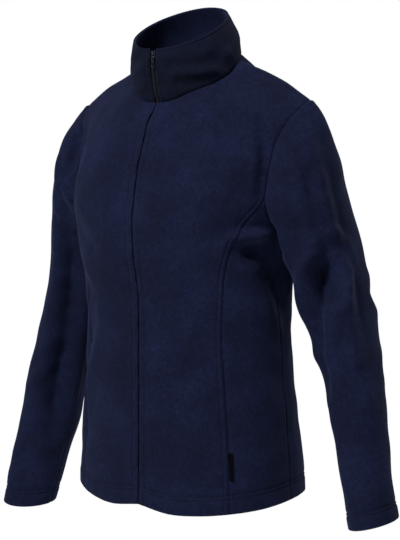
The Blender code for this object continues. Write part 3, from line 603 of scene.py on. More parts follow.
def sheetMesh(name, outer, inner, closed=False):
    # a thin closed wall between the outer and inner points of a fine grid
    half = outer.shape[0] * outer.shape[1]
    index = np.arange(half).reshape(outer.shape[:2])
    if closed:
        index = np.hstack((index, index[:, :1]))
    corners = [part.ravel() for part in (index[:-1, :-1], index[:-1, 1:], index[1:, 1:], index[1:, :-1])]
    faces = [np.stack(corners, 1), np.stack(corners[::-1], 1) + half]
    edges = [(index[0, 1:], index[0, :-1]), (index[-1, :-1], index[-1, 1:])]
    if not closed:
        edges += [(index[:-1, 0], index[1:, 0]), (index[1:, -1], index[:-1, -1])]
    faces += [np.stack((start, end, half + end, half + start), 1) for start, end in edges]
    return rawMesh(name, np.vstack((outer.reshape(-1, 3), inner.reshape(-1, 3))), np.vstack(faces))


def rawMesh(name, points, faces):
    points, faces = np.array(points), np.array(faces)
    mesh = bpy.data.meshes.new(name)
    mesh.vertices.add(len(points))
    mesh.vertices.foreach_set("co", (points * cm).astype(np.float32).ravel())
    mesh.loops.add(faces.size)
    mesh.loops.foreach_set("vertex_index", faces.astype(np.int32).ravel())
    mesh.polygons.add(len(faces))
    mesh.polygons.foreach_set("loop_start", np.arange(len(faces), dtype=np.int32) * faces.shape[1])
    mesh.polygons.foreach_set("use_smooth", np.ones(len(faces), bool))
    mesh.update()
    mesh.validate()
    return mesh


def ringFaces(first, levels, ring, closed=False):
    # the sides between one ring of points and the next, from the first point's number on
    faces = []
    for level in range(levels if closed else levels - 1):
        after = (level + 1) % levels
        for turn in range(ring):
            beside = (turn + 1) % ring
            corners = ((level, turn), (level, beside), (after, beside), (after, turn))
            faces.append([first + row * ring + place for row, place in corners])
    return faces


def addBar(points, faces, centres, sizes, wide, high, ring):
    # a short bar: a ring of points about each centre
    first = len(points)
    for centre, size in zip(centres, sizes):
        for turn in range(ring):
            angle = 2 * math.pi * turn / ring
            points.append(centre + (wide * math.cos(angle) + high * math.sin(angle)) * size)
    faces += ringFaces(first, len(centres), ring)


def dress(thing, material, slot, body="jacket", nodes=()):
    thing.data.materials.append(material)
    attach(thing, body)
    if nodes:
        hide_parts(*nodes)
    return thing


def place(name, mesh, *looks, **more):
    thing = bpy.data.objects.new(name, mesh)
    bpy.context.scene.collection.objects.link(thing)
    return dress(thing, *looks, **more)


def declareCloth(thing, grid, withPieces=()):
    # works out the cut's length, the longest column of the cloth itself, and keeps nothing
    length = float(alongRows(turnAbout(grid))[:, -1].max()) * cm


def toLinear(hexValue):
    # sRGB hex to the linear values that the shader wants
    channels = [int(hexValue[i : i + 2], 16) / 255 for i in (1, 3, 5)]
    return tuple(c / 12.92 if c <= 0.04045 else ((c + 0.055) / 1.055) ** 2.4 for c in channels) + (1.0,)


def addNode(tree, kind, settings, output=0):
    # a number or a socket's name takes a value or a link; any other word is one of the node's own settings
    node = tree.nodes.new(kind)
    for name, value in settings.items():
        if isinstance(name, str) and name not in node.inputs:
            setattr(node, name, value)
        elif isinstance(value, bpy.types.NodeSocket):
            tree.links.new(value, node.inputs[name])
        else:
            node.inputs[name].default_value = value
    return node.outputs[output]


def startMaterial(name, look):
    material = bpy.data.materials.new(name)
    material.use_nodes = True
    tree = material.node_tree
    shader = tree.nodes["Principled BSDF"]
    for socket, value in look["shader"].items():
        shader.inputs[socket].default_value = value
    return material, tree, shader, addNode(tree, "ShaderNodeTexCoord", {}, "Object")


# polyester fleece, brushed and sheared: a short matt nap that clumps a little, with a soft pale edge where
# the face turns away from the eye
fleeceLook = {
    "deep": "#080b1a", "mid": "#0c1024", "tip": "#11172f",
    "shader": {
        "Roughness": 0.95, "Specular IOR Level": 0.06,
        "Sheen Weight": 0.09, "Sheen Roughness": 0.4, "Sheen Tint": toLinear("#7484c4"),
    },
    # the real nap is under a millimetre; it is drawn coarser so that it still shows
    "napMillimetres": 2.4, "clumpMillimetres": 7.0, "patchMillimetres": 60.0, "napDepth": 0.9, "clumpDepth": 1.2,
}
# the same fleece on the collar's outer layer in darker colours: the shade that falls over the turned collar is painted
# into it
shadedCollarLook = {
    **fleeceLook, "deep": "#050711", "mid": "#080b19", "tip": "#0b0f20",
    "shader": {**fleeceLook["shader"], "Sheen Weight": 0.06},
}


def makeFleece(name, look):
    material, tree, shader, spot = startMaterial(name, look)
    nap, clumps, patches = (
        addNode(tree, "ShaderNodeTexNoise", {"Scale": 1000 / look[size], "Vector": spot, **settings})
        for size, settings in (
            ("napMillimetres", {"Detail": 3.0, "Roughness": 0.6}),
            ("clumpMillimetres", {"Detail": 3.0, "Roughness": 0.55}),
            ("patchMillimetres", {"Detail": 2.0}),
        )
    )
    patchShare = addNode(tree, "ShaderNodeMapRange", {
        "Value": patches, "From Min": 0.3, "From Max": 0.7, "To Min": -0.14, "To Max": 0.14,
    })
    napShare = addNode(tree, "ShaderNodeMath", {"operation": "MULTIPLY_ADD", 0: nap, 1: 0.9, 2: patchShare})
    share = addNode(tree, "ShaderNodeMath", {"operation": "MULTIPLY_ADD", 0: clumps, 1: 0.6, 2: napShare})
    share = addNode(tree, "ShaderNodeMapRange", {"Value": share, "From Min": 0.45, "From Max": 1.05})
    colour = addNode(tree, "ShaderNodeValToRGB", {"Fac": share})
    ramp = colour.node.color_ramp.elements
    ramp[0].color = toLinear(look["deep"])
    ramp[1].color = toLinear(look["tip"])
    ramp.new(0.5).color = toLinear(look["mid"])
    soft = addNode(tree, "ShaderNodeBump", {"Distance": look["clumpDepth"] / 1000, "Strength": 0.5, "Height": clumps})
    rough = addNode(tree, "ShaderNodeBump", {
        "Distance": look["napDepth"] / 1000, "Strength": 0.6, "Height": nap, "Normal": soft,
    })
    tree.links.new(colour, shader.inputs["Base Color"])
    tree.links.new(rough, shader.inputs["Normal"])
    return material


def mixColours(tree, look, share):
    # between the look's dark and light colour
    settings = {"data_type": "RGBA", 0: share, 6: toLinear(look["dark"]), 7: toLinear(look["light"])}
    return addNode(tree, "ShaderNodeMix", settings, 2)


# woven polyester zip tape: fine ribs along the tape, a dry half-matt face
tapeLook = {
    "dark": "#05070f", "light": "#0b0e1c", "ribMillimetres": 1.2,
    "shader": {"Roughness": 0.85, "Specular IOR Level": 0.15, "Sheen Weight": 0.05},
}
# black woven ribbon, dull and dry
tabLook = {
    "dark": "#010102", "light": "#040405", "ribMillimetres": 1.4,
    "shader": {"Roughness": 0.9, "Specular IOR Level": 0.04},
}


def makeWoven(name, look):
    material, tree, shader, spot = startMaterial(name, look)
    ways = [
        addNode(tree, "ShaderNodeTexWave", {
            "wave_type": "BANDS", "bands_direction": way, "Distortion": 0.4, "Detail": 1.0, "Vector": spot,
            # a wave texture of scale 1 repeats each 20 / pi units
            "Scale": 1000 / look["ribMillimetres"] / 20 * math.pi,
        }, "Fac")
        for way in ("X", "Z")
    ]
    weave = addNode(tree, "ShaderNodeMath", {"operation": "MULTIPLY", 0: ways[0], 1: ways[1]})
    ribs = addNode(tree, "ShaderNodeBump", {"Distance": 0.25 / 1000, "Strength": 0.6, "Height": weave})
    tree.links.new(mixColours(tree, look, weave), shader.inputs["Base Color"])
    tree.links.new(ribs, shader.inputs["Normal"])
    return material


# nylon 6 coil, extruded: smooth and satin, so each turn carries a small soft highlight
coilLook = {
    "dark": "#03050d", "light": "#060915", "mottleMillimetres": 4.0, "scuffDepth": 0.1,
    "shader": {"Roughness": 0.6, "Specular IOR Level": 0.08, "IOR": 1.53},
}
# zinc alloy with a dark bright plating, cast: clear highlights; its light colour, laid on in noise patches, is a
# painted glint
glintPlateLook = {
    "dark": "#14161c", "light": "#50545f", "mottleMillimetres": 2.5, "scuffDepth": 0.12,
    "shader": {"Roughness": 0.3, "Metallic": 1.0},
}
# spun polyester thread: a dry twist, as dark as the cloth it is sunk in
threadLook = {
    "dark": "#060815", "light": "#0a0e20", "mottleMillimetres": 1.2, "scuffDepth": 0.1,
    "shader": {"Roughness": 0.85, "Specular IOR Level": 0.1, "Sheen Weight": 0.04},
}


def makeMottled(name, look):
    material, tree, shader, spot = startMaterial(name, look)
    mottle = addNode(tree, "ShaderNodeTexNoise", {
        "Scale": 1000 / look["mottleMillimetres"], "Detail": 4.0, "Roughness": 0.6, "Vector": spot,
    })
    # the light colour comes in noise patches; on the zinc these patches are painted glints
    share = addNode(tree, "ShaderNodeMapRange", {"Value": mottle, "From Min": 0.35, "From Max": 0.7})
    roughness = look["shader"]["Roughness"]
    rough = addNode(tree, "ShaderNodeMapRange", {
        "Value": mottle, "From Min": 0.3, "From Max": 0.7, "To Min": roughness * 0.8, "To Max": roughness * 1.3,
    })
    marks = addNode(tree, "ShaderNodeBump", {
        "Distance": look["scuffDepth"] / 1000, "Strength": 0.35, "Height": mottle,
    })
    tree.links.new(mixColours(tree, look, share), shader.inputs["Base Color"])
    tree.links.new(rough, shader.inputs["Roughness"])
    tree.links.new(marks, shader.inputs["Normal"])
    return material


fleece = makeFleece("brushed_navy_polyester_fleece", fleeceLook)
# the collar's copy of the fleece has its shade painted into its colours
shadedCollarFleece = makeFleece("brushed_navy_polyester_fleece_with_painted_collar_shade", shadedCollarLook)
zipTape = makeWoven("woven_polyester_zip_tape", tapeLook)
blackTape = makeWoven("dull_black_woven_ribbon", tabLook)
nylonCoil = makeMottled("satin_extruded_nylon_coil", coilLook)
zincWithPaintedGlint = makeMottled("dark_plated_cast_zinc_with_painted_glint", glintPlateLook)
thread = makeMottled("dry_spun_polyester_thread", threadLook)
print("finishes made")

# distances and heights in centimetres; a ridge or groove is its distance from the edge, its reach and its height
sewing = {
    "cloth": 0.24, "collarCloth": 0.45, "step": 0.34,
    "seamSink": (0, 0.2, -0.18), "seamBlend": 0.5, "edgeReach": 0.8,
    "stitchReach": 0.12, "stitchSink": -0.12, "princessStitch": 0.8, "zipStitch": 1.0, "collarEndStitch": 0.8,
    "hemStitches": (2.1, 2.7), "cuffStitches": (1.9, 2.4), "turnUpRise": 0.06,
    "rimStitch": 0.55, "rimReach": 0.09, "rimSink": -0.09,
    "princessRoll": (0.42, 0.28, 0.05), "zipRoll": (0.5, 0.32, 0.06), "armholeRoll": (0.45, 0.35, 0.05),
    "sleeveSeam": (0, 0.16, -0.1), "zipRipple": (0, 1.5, 0.035), "hemRipple": (1.2, 1.6, 0.03),
    "pocketTop": -43.6, "pocketBottom": -57.6, "pocketLip": (0.15, 0.3, 0.07), "pocketMouth": (0, 0.3, -0.16),
}
# where the fine rows and columns lie beside each kind of edge, by distance from it
seamEdge = (0.0, 0.05, 0.11, 0.2, 0.32, 0.5)
stitchedEdge = (0.0, 0.05, 0.11, 0.2, 0.36, 0.52, 0.64, 0.72, 0.8, 0.88, 0.96, 1.1, 1.3)
zipEdge = (0.0, 0.03, 0.07, 0.12, 0.2, 0.36, 0.6, 0.8, 0.92, 1.0, 1.08, 1.2, 1.4)
hemEdge = (0.0, 0.03, 0.07, 0.12, 0.3, 0.7, 1.2, 1.7, 1.95, 2.05, 2.15, 2.3, 2.5, 2.65, 2.75, 2.9, 3.2)
cuffEdge = (0.0, 0.03, 0.07, 0.12, 0.3, 0.7, 1.2, 1.6, 1.8, 1.9, 2.0, 2.15, 2.3, 2.4, 2.5, 2.8)
rimEdge = (0.0, 0.04, 0.1, 0.16, 0.23, 0.32, 0.42, 0.5, 0.55, 0.6, 0.7, 0.85)


def roundOver(distance, thickness):
    # how far the face curves back where the cloth is turned over at an edge
    reach = thickness / 2
    share = np.clip(1 - distance / reach, 0, 1)
    return reach * (1 - np.sqrt(np.clip(1 - share**2, 0, 1)))


def finePanel(base, left, right, bottom, top, closed=False):
    grid = refine(base, closed=closed)
    if not closed:
        grid = respace(grid, left, right, sewing["step"])
    return turnAbout(respace(turnAbout(grid), bottom, top, sewing["step"]))


def rimOf(values):
    return np.vstack((values[0], values[-1], values[:, 0], values[:, -1]))[::2]


def meanWay(points):
    # the mean way outward of every panel edge that passes close by
    near = np.linalg.norm(points[:, None] - seamPoints[None], axis=2)
    return unit(np.exp(-((near / sewing["seamBlend"]) ** 2)) @ seamWays)


def waysOut(grid, closed=False):
    # the way outward at each point; where two panels meet, both use the same one, so their edges stay together
    left, right, bottom, top = distances(grid)
    gaps, edges = [bottom, top], [meanWay(grid[0])[None], meanWay(grid[-1])[None]]
    if not closed:
        gaps += [left, right]
        edges += [meanWay(grid[:, 0])[:, None], meanWay(grid[:, -1])[:, None]]
    gaps = np.stack(gaps)
    edges = np.stack([np.broadcast_to(edge, grid.shape) for edge in edges])
    nearest = np.take_along_axis(edges, gaps.argmin(axis=0)[None, ..., None], axis=0)[0]
    share = np.exp(-((gaps.min(axis=0) / sewing["edgeReach"]) ** 2))[..., None]
    return unit(surfaceNormals(grid, closed) * (1 - share) + nearest * share)


def clothPiece(name, grid, relief, thickness, turnedEdges, closed=False):
    # the folded grid with its seams and stitch lines pressed in, as a thin wall
    ways = waysOut(grid, closed)
    moved = fold(grid, ways)
    rounding = sum(roundOver(distance, thickness) for distance in turnedEdges)
    outer = moved + ways * (relief - rounding)[..., None]
    inner = moved - ways * (thickness - rounding)[..., None]
    # the collar is two layers, turned out at the rim: the inner one is plain fleece, the outer one the darker copy with
    # painted shade
    double = name == "collar"
    behind, material = ((outer + inner) / 2, shadedCollarFleece) if double else (inner, fleece)
    used = slice(-1) if closed else slice(None)  # a closed grid's last column is its first again
    mesh = sheetMesh(name, outer[:, used], behind[:, used], closed)
    thing = place(name + "_cloth", mesh, material, "fleece", nodes=(name,))
    if double:
        lining = place("collar_facing_cloth", sheetMesh("collar_facing", behind, inner), fleece, "fleece")
        declareCloth(lining, grid)
    return thing, outer, surfaceNormals(outer, closed)


def alongColumn(grid, normals, distance, at, end=math.inf):
    # the path at one distance from an edge, row by row, up to a height
    path, ways = [], []
    for i in range(len(grid)):
        j = int(np.argmin(np.abs(distance[i] - at)))
        if grid[i, j][2] <= end:
            path.append(grid[i, j])
            ways.append(normals[i, j])
    return np.array(path), np.array(ways)


def alongRow(grid, normals, distance, at):
    return alongColumn(turnAbout(grid), turnAbout(normals), distance.T, at)


stitch = {"thick": 0.03, "pitch": 0.34, "length": 0.24, "sides": 6}
# along a stitch: the share of its length, its share of the full thickness, how far it stands out
stitchRings = ((0, 0.35, -0.5), (0.2, 1, 0.6), (0.8, 1, 0.6), (1, 0.35, -0.5))


def sewStitches(name, lines, thick=stitch["thick"], pitch=stitch["pitch"], length=stitch["length"]):
    # short rounded stitches along paths of points that lie on the cloth
    points, faces = [], []
    for path, ways in lines:
        if len(path) <= 2:
            continue
        travel = travelled(path)
        middles = (np.arange(int(travel[-1] / pitch)) + 0.5) * pitch

        def at(values, distance):
            return np.stack([np.interp(distance, travel, values[:, k]) for k in range(3)], axis=1)

        start, end = at(path, middles - length / 2), at(path, middles + length / 2)
        out = unit(at(ways, middles))
        side = np.cross(unit(end - start), out)
        for k in range(len(middles)):
            centres = [start[k] + (end[k] - start[k]) * share + out[k] * rise * thick for share, _, rise in stitchRings]
            sizes = [thick * size for _, size, _ in stitchRings]
            addBar(points, faces, centres, sizes, side[k], out[k], stitch["sides"])
    return place(name, rawMesh(name, points, faces), thread, "fleece")


def sunkSeams(*gaps):
    return sum(ridge(gap, *sewing["seamSink"]) for gap in gaps)


def stitchLines(gap, distances):
    return sum(ridge(gap, at, sewing["stitchReach"], sewing["stitchSink"]) for at in distances)


def turnUp(gap, stitches):
    # an edge folded up inside: the cloth is double there, and its rows of stitches are pressed in
    return stitchLines(gap, stitches) + sewing["turnUpRise"] * (1 - rising(gap, stitches[0], 0.12))


def pocketShare(height):
    # 1 along the pocket's opening, 0 above and below it
    return rising(-height, -sewing["pocketTop"], 0.2) * (1 - rising(-height, -sewing["pocketBottom"], 0.2))


def sewPiece(name, relief, gap, stitches, closed=False):
    # a piece with one turned-up edge, topstitched along it
    relief = relief + turnUp(gap, stitches)
    thing, outer, ways = clothPiece(name, cuts[name], relief, sewing["cloth"], (gap,), closed)
    stitching = sewStitches(name + "_topstitch", [alongRow(outer, ways, gap, at) for at in stitches])
    declareCloth(thing, cuts[name], [stitching])


frontBase = bodyGrid(neckColumns + shoulderColumns, frontLower, upperFront)
sideBase = np.array([
    [sideLower(j / sideColumns, i / lowerRows) for j in range(sideColumns + 1)] for i in range(lowerRows + 1)
])
# the back runs from the left side seam to the middle, and then the same again mirrored
backHalf = bodyGrid((neckColumns[2:] + shoulderColumns)[::-1] + (0.0,), backLower, upperBack)
backBase = np.concatenate((backHalf, backHalf[:, -2::-1] * mirrored), axis=1)
sleeveBase = sleeveGrid(frontBase, sideBase, backBase)
collarBase = collarGrid(frontBase, backBase)

cuts = {}
for hand, sign in hands:
    edges = (zipEdge, stitchedEdge)[::sign]
    cuts["front_" + hand] = finePanel(settle(onSide(frontBase, sign)), *edges, hemEdge, seamEdge)
    cuts["side_front_" + hand] = finePanel(settle(onSide(sideBase, sign)), seamEdge, seamEdge, hemEdge, seamEdge)
    cuts["sleeve_" + hand] = finePanel(onSide(sleeveBase, sign), None, None, seamEdge, cuffEdge, True)
cuts["back"] = finePanel(settle(backBase), seamEdge, seamEdge, hemEdge, seamEdge)
cuts["collar"] = finePanel(collarBase, zipEdge, zipEdge, seamEdge, rimEdge)
seamPoints = np.vstack([rimOf(grid) for grid in cuts.values()])
seamWays = np.vstack([rimOf(surfaceNormals(grid, "sleeve" in name)) for name, grid in cuts.items()])
print("cut worked out")

# bartacks at both ends of the pocket opening: a dense bar of thread across the stitch line
bartack = {"reach": 1.0, "rows": np.arange(-0.09, 0.1, 0.035), "lift": 0.01, "thick": 0.028, "pitch": 0.3}

for hand, sign in hands:
    name = "front_" + hand
    grid = cuts[name]
    height = grid[..., 2]
    atZip, atSeam = distances(grid)[:2][::sign]
    atHem, atTop = distances(grid)[2:]
    belowJoin = rising(-height, 0.6 - joinHeight, 0.25)
    relief = sunkSeams(atSeam, atTop) + stitchLines(atZip, (sewing["zipStitch"],))
    relief += (stitchLines(atSeam, (sewing["princessStitch"],)) + ridge(atSeam, *sewing["princessRoll"])) * belowJoin
    relief += ridge(atSeam, *sewing["pocketLip"]) * pocketShare(height) + ridge(atZip, *sewing["zipRoll"])
    # the zip's edge and the hem ripple slightly between their stitches
    relief += ridge(atZip, *sewing["zipRipple"]) * np.sin(height * 1.9 + sign)
    relief += ridge(atHem, *sewing["hemRipple"]) * np.sin(atZip * 2.3 + sign * 2)
    relief += turnUp(atHem, sewing["hemStitches"])
    thing, outer, ways = clothPiece(name, grid, relief, sewing["cloth"], (atZip, atHem))
    lines = [
        alongColumn(outer, ways, atSeam, sewing["princessStitch"], joinHeight - 0.8),
        alongColumn(outer, ways, atZip, sewing["zipStitch"]),
        *(alongRow(outer, ways, atHem, at) for at in sewing["hemStitches"]),
    ]
    declareCloth(thing, grid, [sewStitches(name + "_topstitch", lines)])
    tacks = []
    for level in (sewing["pocketTop"], sewing["pocketBottom"]):
        row = int(np.argmin(np.abs(height[:, -4 if sign > 0 else 3] - level)))
        near = np.argsort(atSeam[row])[: int((atSeam[row] < bartack["reach"]).sum())]
        path, way = outer[row, near], ways[row, near]
        tacks += [(path + np.array((0, 0, up)) + way * bartack["lift"], way) for up in bartack["rows"]]
    sewStitches(name + "_bartacks", tacks, bartack["thick"], bartack["pitch"], bartack["pitch"])

for hand, sign in hands:
    name = "side_front_" + hand
    grid = cuts[name]
    atPrincess, atSide = distances(grid)[:2][::sign]
    atHem, atTop = distances(grid)[2:]
    relief = sunkSeams(atPrincess, atSide, atTop)
    relief += ridge(atPrincess, *sewing["pocketMouth"]) * pocketShare(grid[..., 2])
    sewPiece(name, relief, atHem, sewing["hemStitches"])

atLeft, atRight, atHem, atTop = distances(cuts["back"])
sewPiece("back", sunkSeams(atLeft, atRight, atTop), atHem, sewing["hemStitches"])
print("body sewn")

for hand, sign in hands:
    name = "sleeve_" + hand
    grid = cuts[name]
    atArmhole, atCuff = distances(grid)[2:]
    # the sleeve's own seam runs down its inner side
    around = alongRows(grid)
    seamColumn = int(np.argmin(grid[len(grid) // 2, :, 0] * sign))
    fromSeam = np.abs(around - around[:, seamColumn : seamColumn + 1])
    relief = sunkSeams(atArmhole) + ridge(atArmhole, *sewing["armholeRoll"]) + ridge(fromSeam, *sewing["sleeveSeam"])
    sewPiece(name, relief, atCuff, sewing["cuffStitches"], True)
print("sleeves sewn")

# the collar buckles softly where it is turned, in long low ridges that run round the neck: distance round
# from the middle of the back, height above the neck seam, reach round, and height of the ridge
buckles = (
    (9.0, 2.4, 2.6, 0.22), (12.5, 3.6, 2.2, -0.2), (5.5, 3.4, 2.2, 0.16), (15.5, 2.4, 2.0, 0.2),
    (-9.5, 2.6, 2.8, 0.2), (-13.0, 3.8, 2.0, -0.18), (-5.0, 3.2, 2.4, 0.16), (1.0, 4.2, 3.2, -0.12),
)
buckleWidth = 0.75
grid = cuts["collar"]
atLeft, atRight, atNeck, atRim = distances(grid)
relief = sunkSeams(atNeck) + ridge(atRim, sewing["rimStitch"], sewing["rimReach"], sewing["rimSink"])
relief += stitchLines(atLeft, (sewing["collarEndStitch"],)) + stitchLines(atRight, (sewing["collarEndStitch"],))
around = atLeft - atLeft[:, -1:] / 2
for middle, level, reach, height in buckles:
    relief += ridge(around, middle, reach, height) * ridge(atNeck, level, buckleWidth, 1)
thing, outer, ways = clothPiece("collar", grid, relief, sewing["collarCloth"], (atLeft, atRight, atRim))
rimLine = alongRow(outer, ways, atRim, sewing["rimStitch"])
declareCloth(thing, grid, [sewStitches("collar_topstitch", [rimLine])])
print("collar sewn")


def between(values, share):
    index = min(int(share), len(values) - 2)
    return values[index] * (1 - share + index) + values[index + 1] * (share - index)


def patchOn(base, patch, columns):
    # a piece that follows a coarse panel between two rows and two columns, at an offset outward
    fine = refine(base)
    rowAt, columnAt = (
        np.linspace(*ends, count) * fineFactor for ends, count in zip((patch["rows"], columns), patch["count"])
    )
    outer, ways = (
        np.array([[between(between(values, row), column) for column in columnAt] for row in rowAt])
        for values in (fine, surfaceNormals(fine))
    )
    ways = unit(ways)
    outer = outer + ways * patch["offset"]
    return outer, outer - ways * patch["thickness"], ways


# pocket bags and the seam tab: rows and columns count the coarse panel's own
bag = {"rows": (1.1, 6.2), "columns": (5.3, 10.9), "offset": -0.3, "thickness": 0.12, "count": (50, 36)}
for hand, sign in hands:
    base = settle(onSide(frontBase, sign))
    last = base.shape[1] - 1
    columns = bag["columns"] if sign > 0 else tuple(last - column for column in bag["columns"][::-1])
    outer, inner, ways = patchOn(base, bag, columns)
    name = "pocket_bag_" + hand
    thing = place(name + "_cloth", sheetMesh(name, outer, inner), fleece, "fleece", nodes=(name,))
    declareCloth(thing, outer)

tab = {"rows": (1.24, 2.26), "columns": (0.02, 0.24), "offset": 0.13, "thickness": 0.08, "count": (30, 9), "lift": 0.09}
outer, inner, ways = patchOn(settle(sideBase), tab, tab["columns"])
# its free edge lifts a little from the cloth
lift = ways * (np.linspace(0, 1, outer.shape[1]) ** 2 * tab["lift"])[None, :, None]
mesh = sheetMesh("seam_tab", outer + lift, inner + lift)
place("seam_tab_woven", mesh, blackTape, "seam_tab", nodes=("seam_tab",))

coil = {"pitch": 0.085, "reach": 0.2, "width": 0.05, "height": 0.045, "overlap": 0.035, "rise": 0.03, "sides": 8}
# along a turn of the coil: the share of its half length, and its share of the full thickness
coilRings = ((-1, 0.45), (-0.72, 0.95), (0.5, 1.0), (0.88, 0.8), (1, 0.4))
tape = {
    "stops": (0.05, 0.14, 0.2, 0.27, 0.34, 0.4, 0.5, 0.62, 0.75, 0.9, 1.05, 1.2, 1.28, 1.34, 1.4),
    "thickness": 0.08, "cord": (0.3, 0.06, 0.035), "selvedge": (1.34, 0.05, 0.02), "sink": 0.05, "bow": 0.012,
    "footRows": 6, "footGap": 0.3,
}


def centreLine():
    # the zip's own middle line, from the hem up to the slider, out of the frame's solids
    points = np.array([vertex.co for vertex in frame["nodes"]["zip_chain"].data.vertices]) / cm
    levels = []
    for point in points[np.argsort(points[:, 2])]:
        if levels and abs(point[2] - levels[-1][-1][2]) < 0.5:
            levels[-1].append(point)
        else:
            levels.append([point])
    return np.array([(0.0, *np.mean(level, axis=0)[1:]) for level in levels])


line = centreLine()
travel = travelled(line)
print("zip line", len(line), "levels, length", round(float(travel[-1]), 2))
spine = spline(line, travel, np.arange(0, travel[-1], coil["pitch"]))
tangent = unit(np.gradient(spine, axis=0))
forward = np.cross(tangent, sideways)
forward *= np.where(forward[:, 1:2] > 0, -1, 1)

points, faces = [], []
for k in range(len(spine)):
    side = sideways * (1 if k % 2 else -1)
    centre = spine[k] + forward[k] * coil["rise"] + side * (coil["reach"] / 2 - coil["overlap"])
    centres = [centre - side * coil["reach"] / 2 * share for share, _ in coilRings]
    sizes = [size for _, size in coilRings]
    addBar(points, faces, centres, sizes, tangent[k] * coil["width"], forward[k] * coil["height"], coil["sides"])
place("zip_coil_teeth", rawMesh("zip_coil_teeth", points, faces), nylonCoil, "zip_coil", nodes=("zip_chain",))

# the tapes, one on each side, with a raised cord beside the coil and a selvedge outside
for hand, sign in hands:
    name = "zip_tape_" + hand
    stops = sign * np.array(tape["stops"][::sign])
    # the tape runs on below the coil, past the foot box
    foot = min(vertex.co.z for vertex in frame["nodes"][name].data.vertices) / cm + tape["footGap"]
    shares = np.linspace(1, 0, tape["footRows"], endpoint=False)[:, None]
    below = shares * tangent[0] * (foot - spine[0][2]) / tangent[0][2]
    path = np.vstack((spine[0] + below, spine[::3]))
    ways = np.vstack((np.repeat(forward[:1], tape["footRows"], axis=0), forward[::3]))
    rise = ridge(abs(stops), *tape["cord"]) + ridge(abs(stops), *tape["selvedge"]) - tape["sink"]
    outer = path[:, None] + stops[:, None] * sideways + ways[:, None] * rise[:, None]
    outer[..., 1] += tape["bow"] * stops**2
    # the tape's upper end stands a little above the coil, beside the slider
    lift = (outer[-1] - outer[-4]) / 3
    outer = np.concatenate((outer, outer[-1:] + lift, outer[-1:] + 2 * lift))
    mesh = sheetMesh(name, outer, outer - surfaceNormals(outer) * tape["thickness"])
    declareCloth(place(name + "_woven", mesh, zipTape, "zip_tape", nodes=(name,)), outer)
print("zip sewn in")


def softBox(name, size, centre, bevel, material, slot, nodes=(), taper=1.0, tilt=0.0, at=(0, 0, 0)):
    # a cast block with rounded edges; its upper end is wider by the taper
    bpy.ops.mesh.primitive_cube_add(size=1)
    thing = bpy.context.object
    thing.name = name
    for vertex in thing.data.vertices:
        wide = taper if vertex.co.z > 0 else 1.0
        x, y, z = (value * length for value, length in zip(vertex.co, size))
        vertex.co = ((x * wide + centre[0]) * cm, (y + centre[1]) * cm, (z + centre[2]) * cm)
    thing.location = at
    thing.rotation_euler = (tilt, 0, 0)
    edges = thing.modifiers.new("rounded", "BEVEL")
    edges.width = bevel * cm
    edges.segments = 4
    for face in thing.data.polygons:
        face.use_smooth = True
    return dress(thing, material, slot, nodes=nodes)


def ringTab(name, outline, hole, thickness, bevel):
    # a flat stamped tab with a hole, its edges rounded, standing in the XZ plane
    curve = bpy.data.curves.new(name, "CURVE")
    curve.dimensions = "2D"
    curve.fill_mode = "BOTH"
    for loop in (outline, hole):
        path = curve.splines.new("BEZIER")
        path.bezier_points.add(len(loop) - 1)
        path.use_cyclic_u = True
        for knot, (x, z) in zip(path.bezier_points, loop):
            knot.co = (x * cm, z * cm, 0)
            knot.handle_left_type = knot.handle_right_type = "AUTO"
    curve.extrude = (thickness / 2 - bevel) * cm
    curve.bevel_depth = bevel * cm
    curve.bevel_resolution = 3
    curve.offset = -bevel * cm
    shape = bpy.data.objects.new(name, curve)
    bpy.context.scene.collection.objects.link(shape)
    shape.rotation_euler = (math.pi / 2, 0, 0)
    bpy.context.view_layer.update()
    mesh = bpy.data.meshes.new_from_object(shape.evaluated_get(bpy.context.evaluated_depsgraph_get()))
    mesh.transform(shape.matrix_world)
    mesh.materials.clear()
    bpy.data.objects.remove(shape)
    return mesh


def tubeMesh(name, path, halfWidth, halfHeight, widthWay, closed=False, ring=12):
    # a bar of oval section swept along a path
    path = np.array(path, float)
    tangents = np.roll(path, -1, axis=0) - np.roll(path, 1, axis=0) if closed else np.gradient(path, axis=0)
    tangents = unit(tangents)
    wide = np.tile(np.array(widthWay, float), (len(path), 1))
    wide = unit(wide - tangents * (wide * tangents).sum(axis=1, keepdims=True))
    high = np.cross(tangents, wide)
    angles = (np.arange(ring) * 2 * math.pi / ring)[:, None]
    points = path[:, None] + wide[:, None] * np.cos(angles) * halfWidth + high[:, None] * np.sin(angles) * halfHeight
    return rawMesh(name, points.reshape(-1, 3), ringFaces(0, len(path), ring, closed))


# the box at the zip's foot that holds the pin, as large as the frame's own solid
corners = np.array([vertex.co for vertex in frame["nodes"]["zip_retainer"].data.vertices]) / cm
low, high = corners.min(axis=0), corners.max(axis=0)
softBox("zip_foot_box", high - low, (high + low) / 2, 0.05, nylonCoil, "zip_coil", ("zip_retainer",))

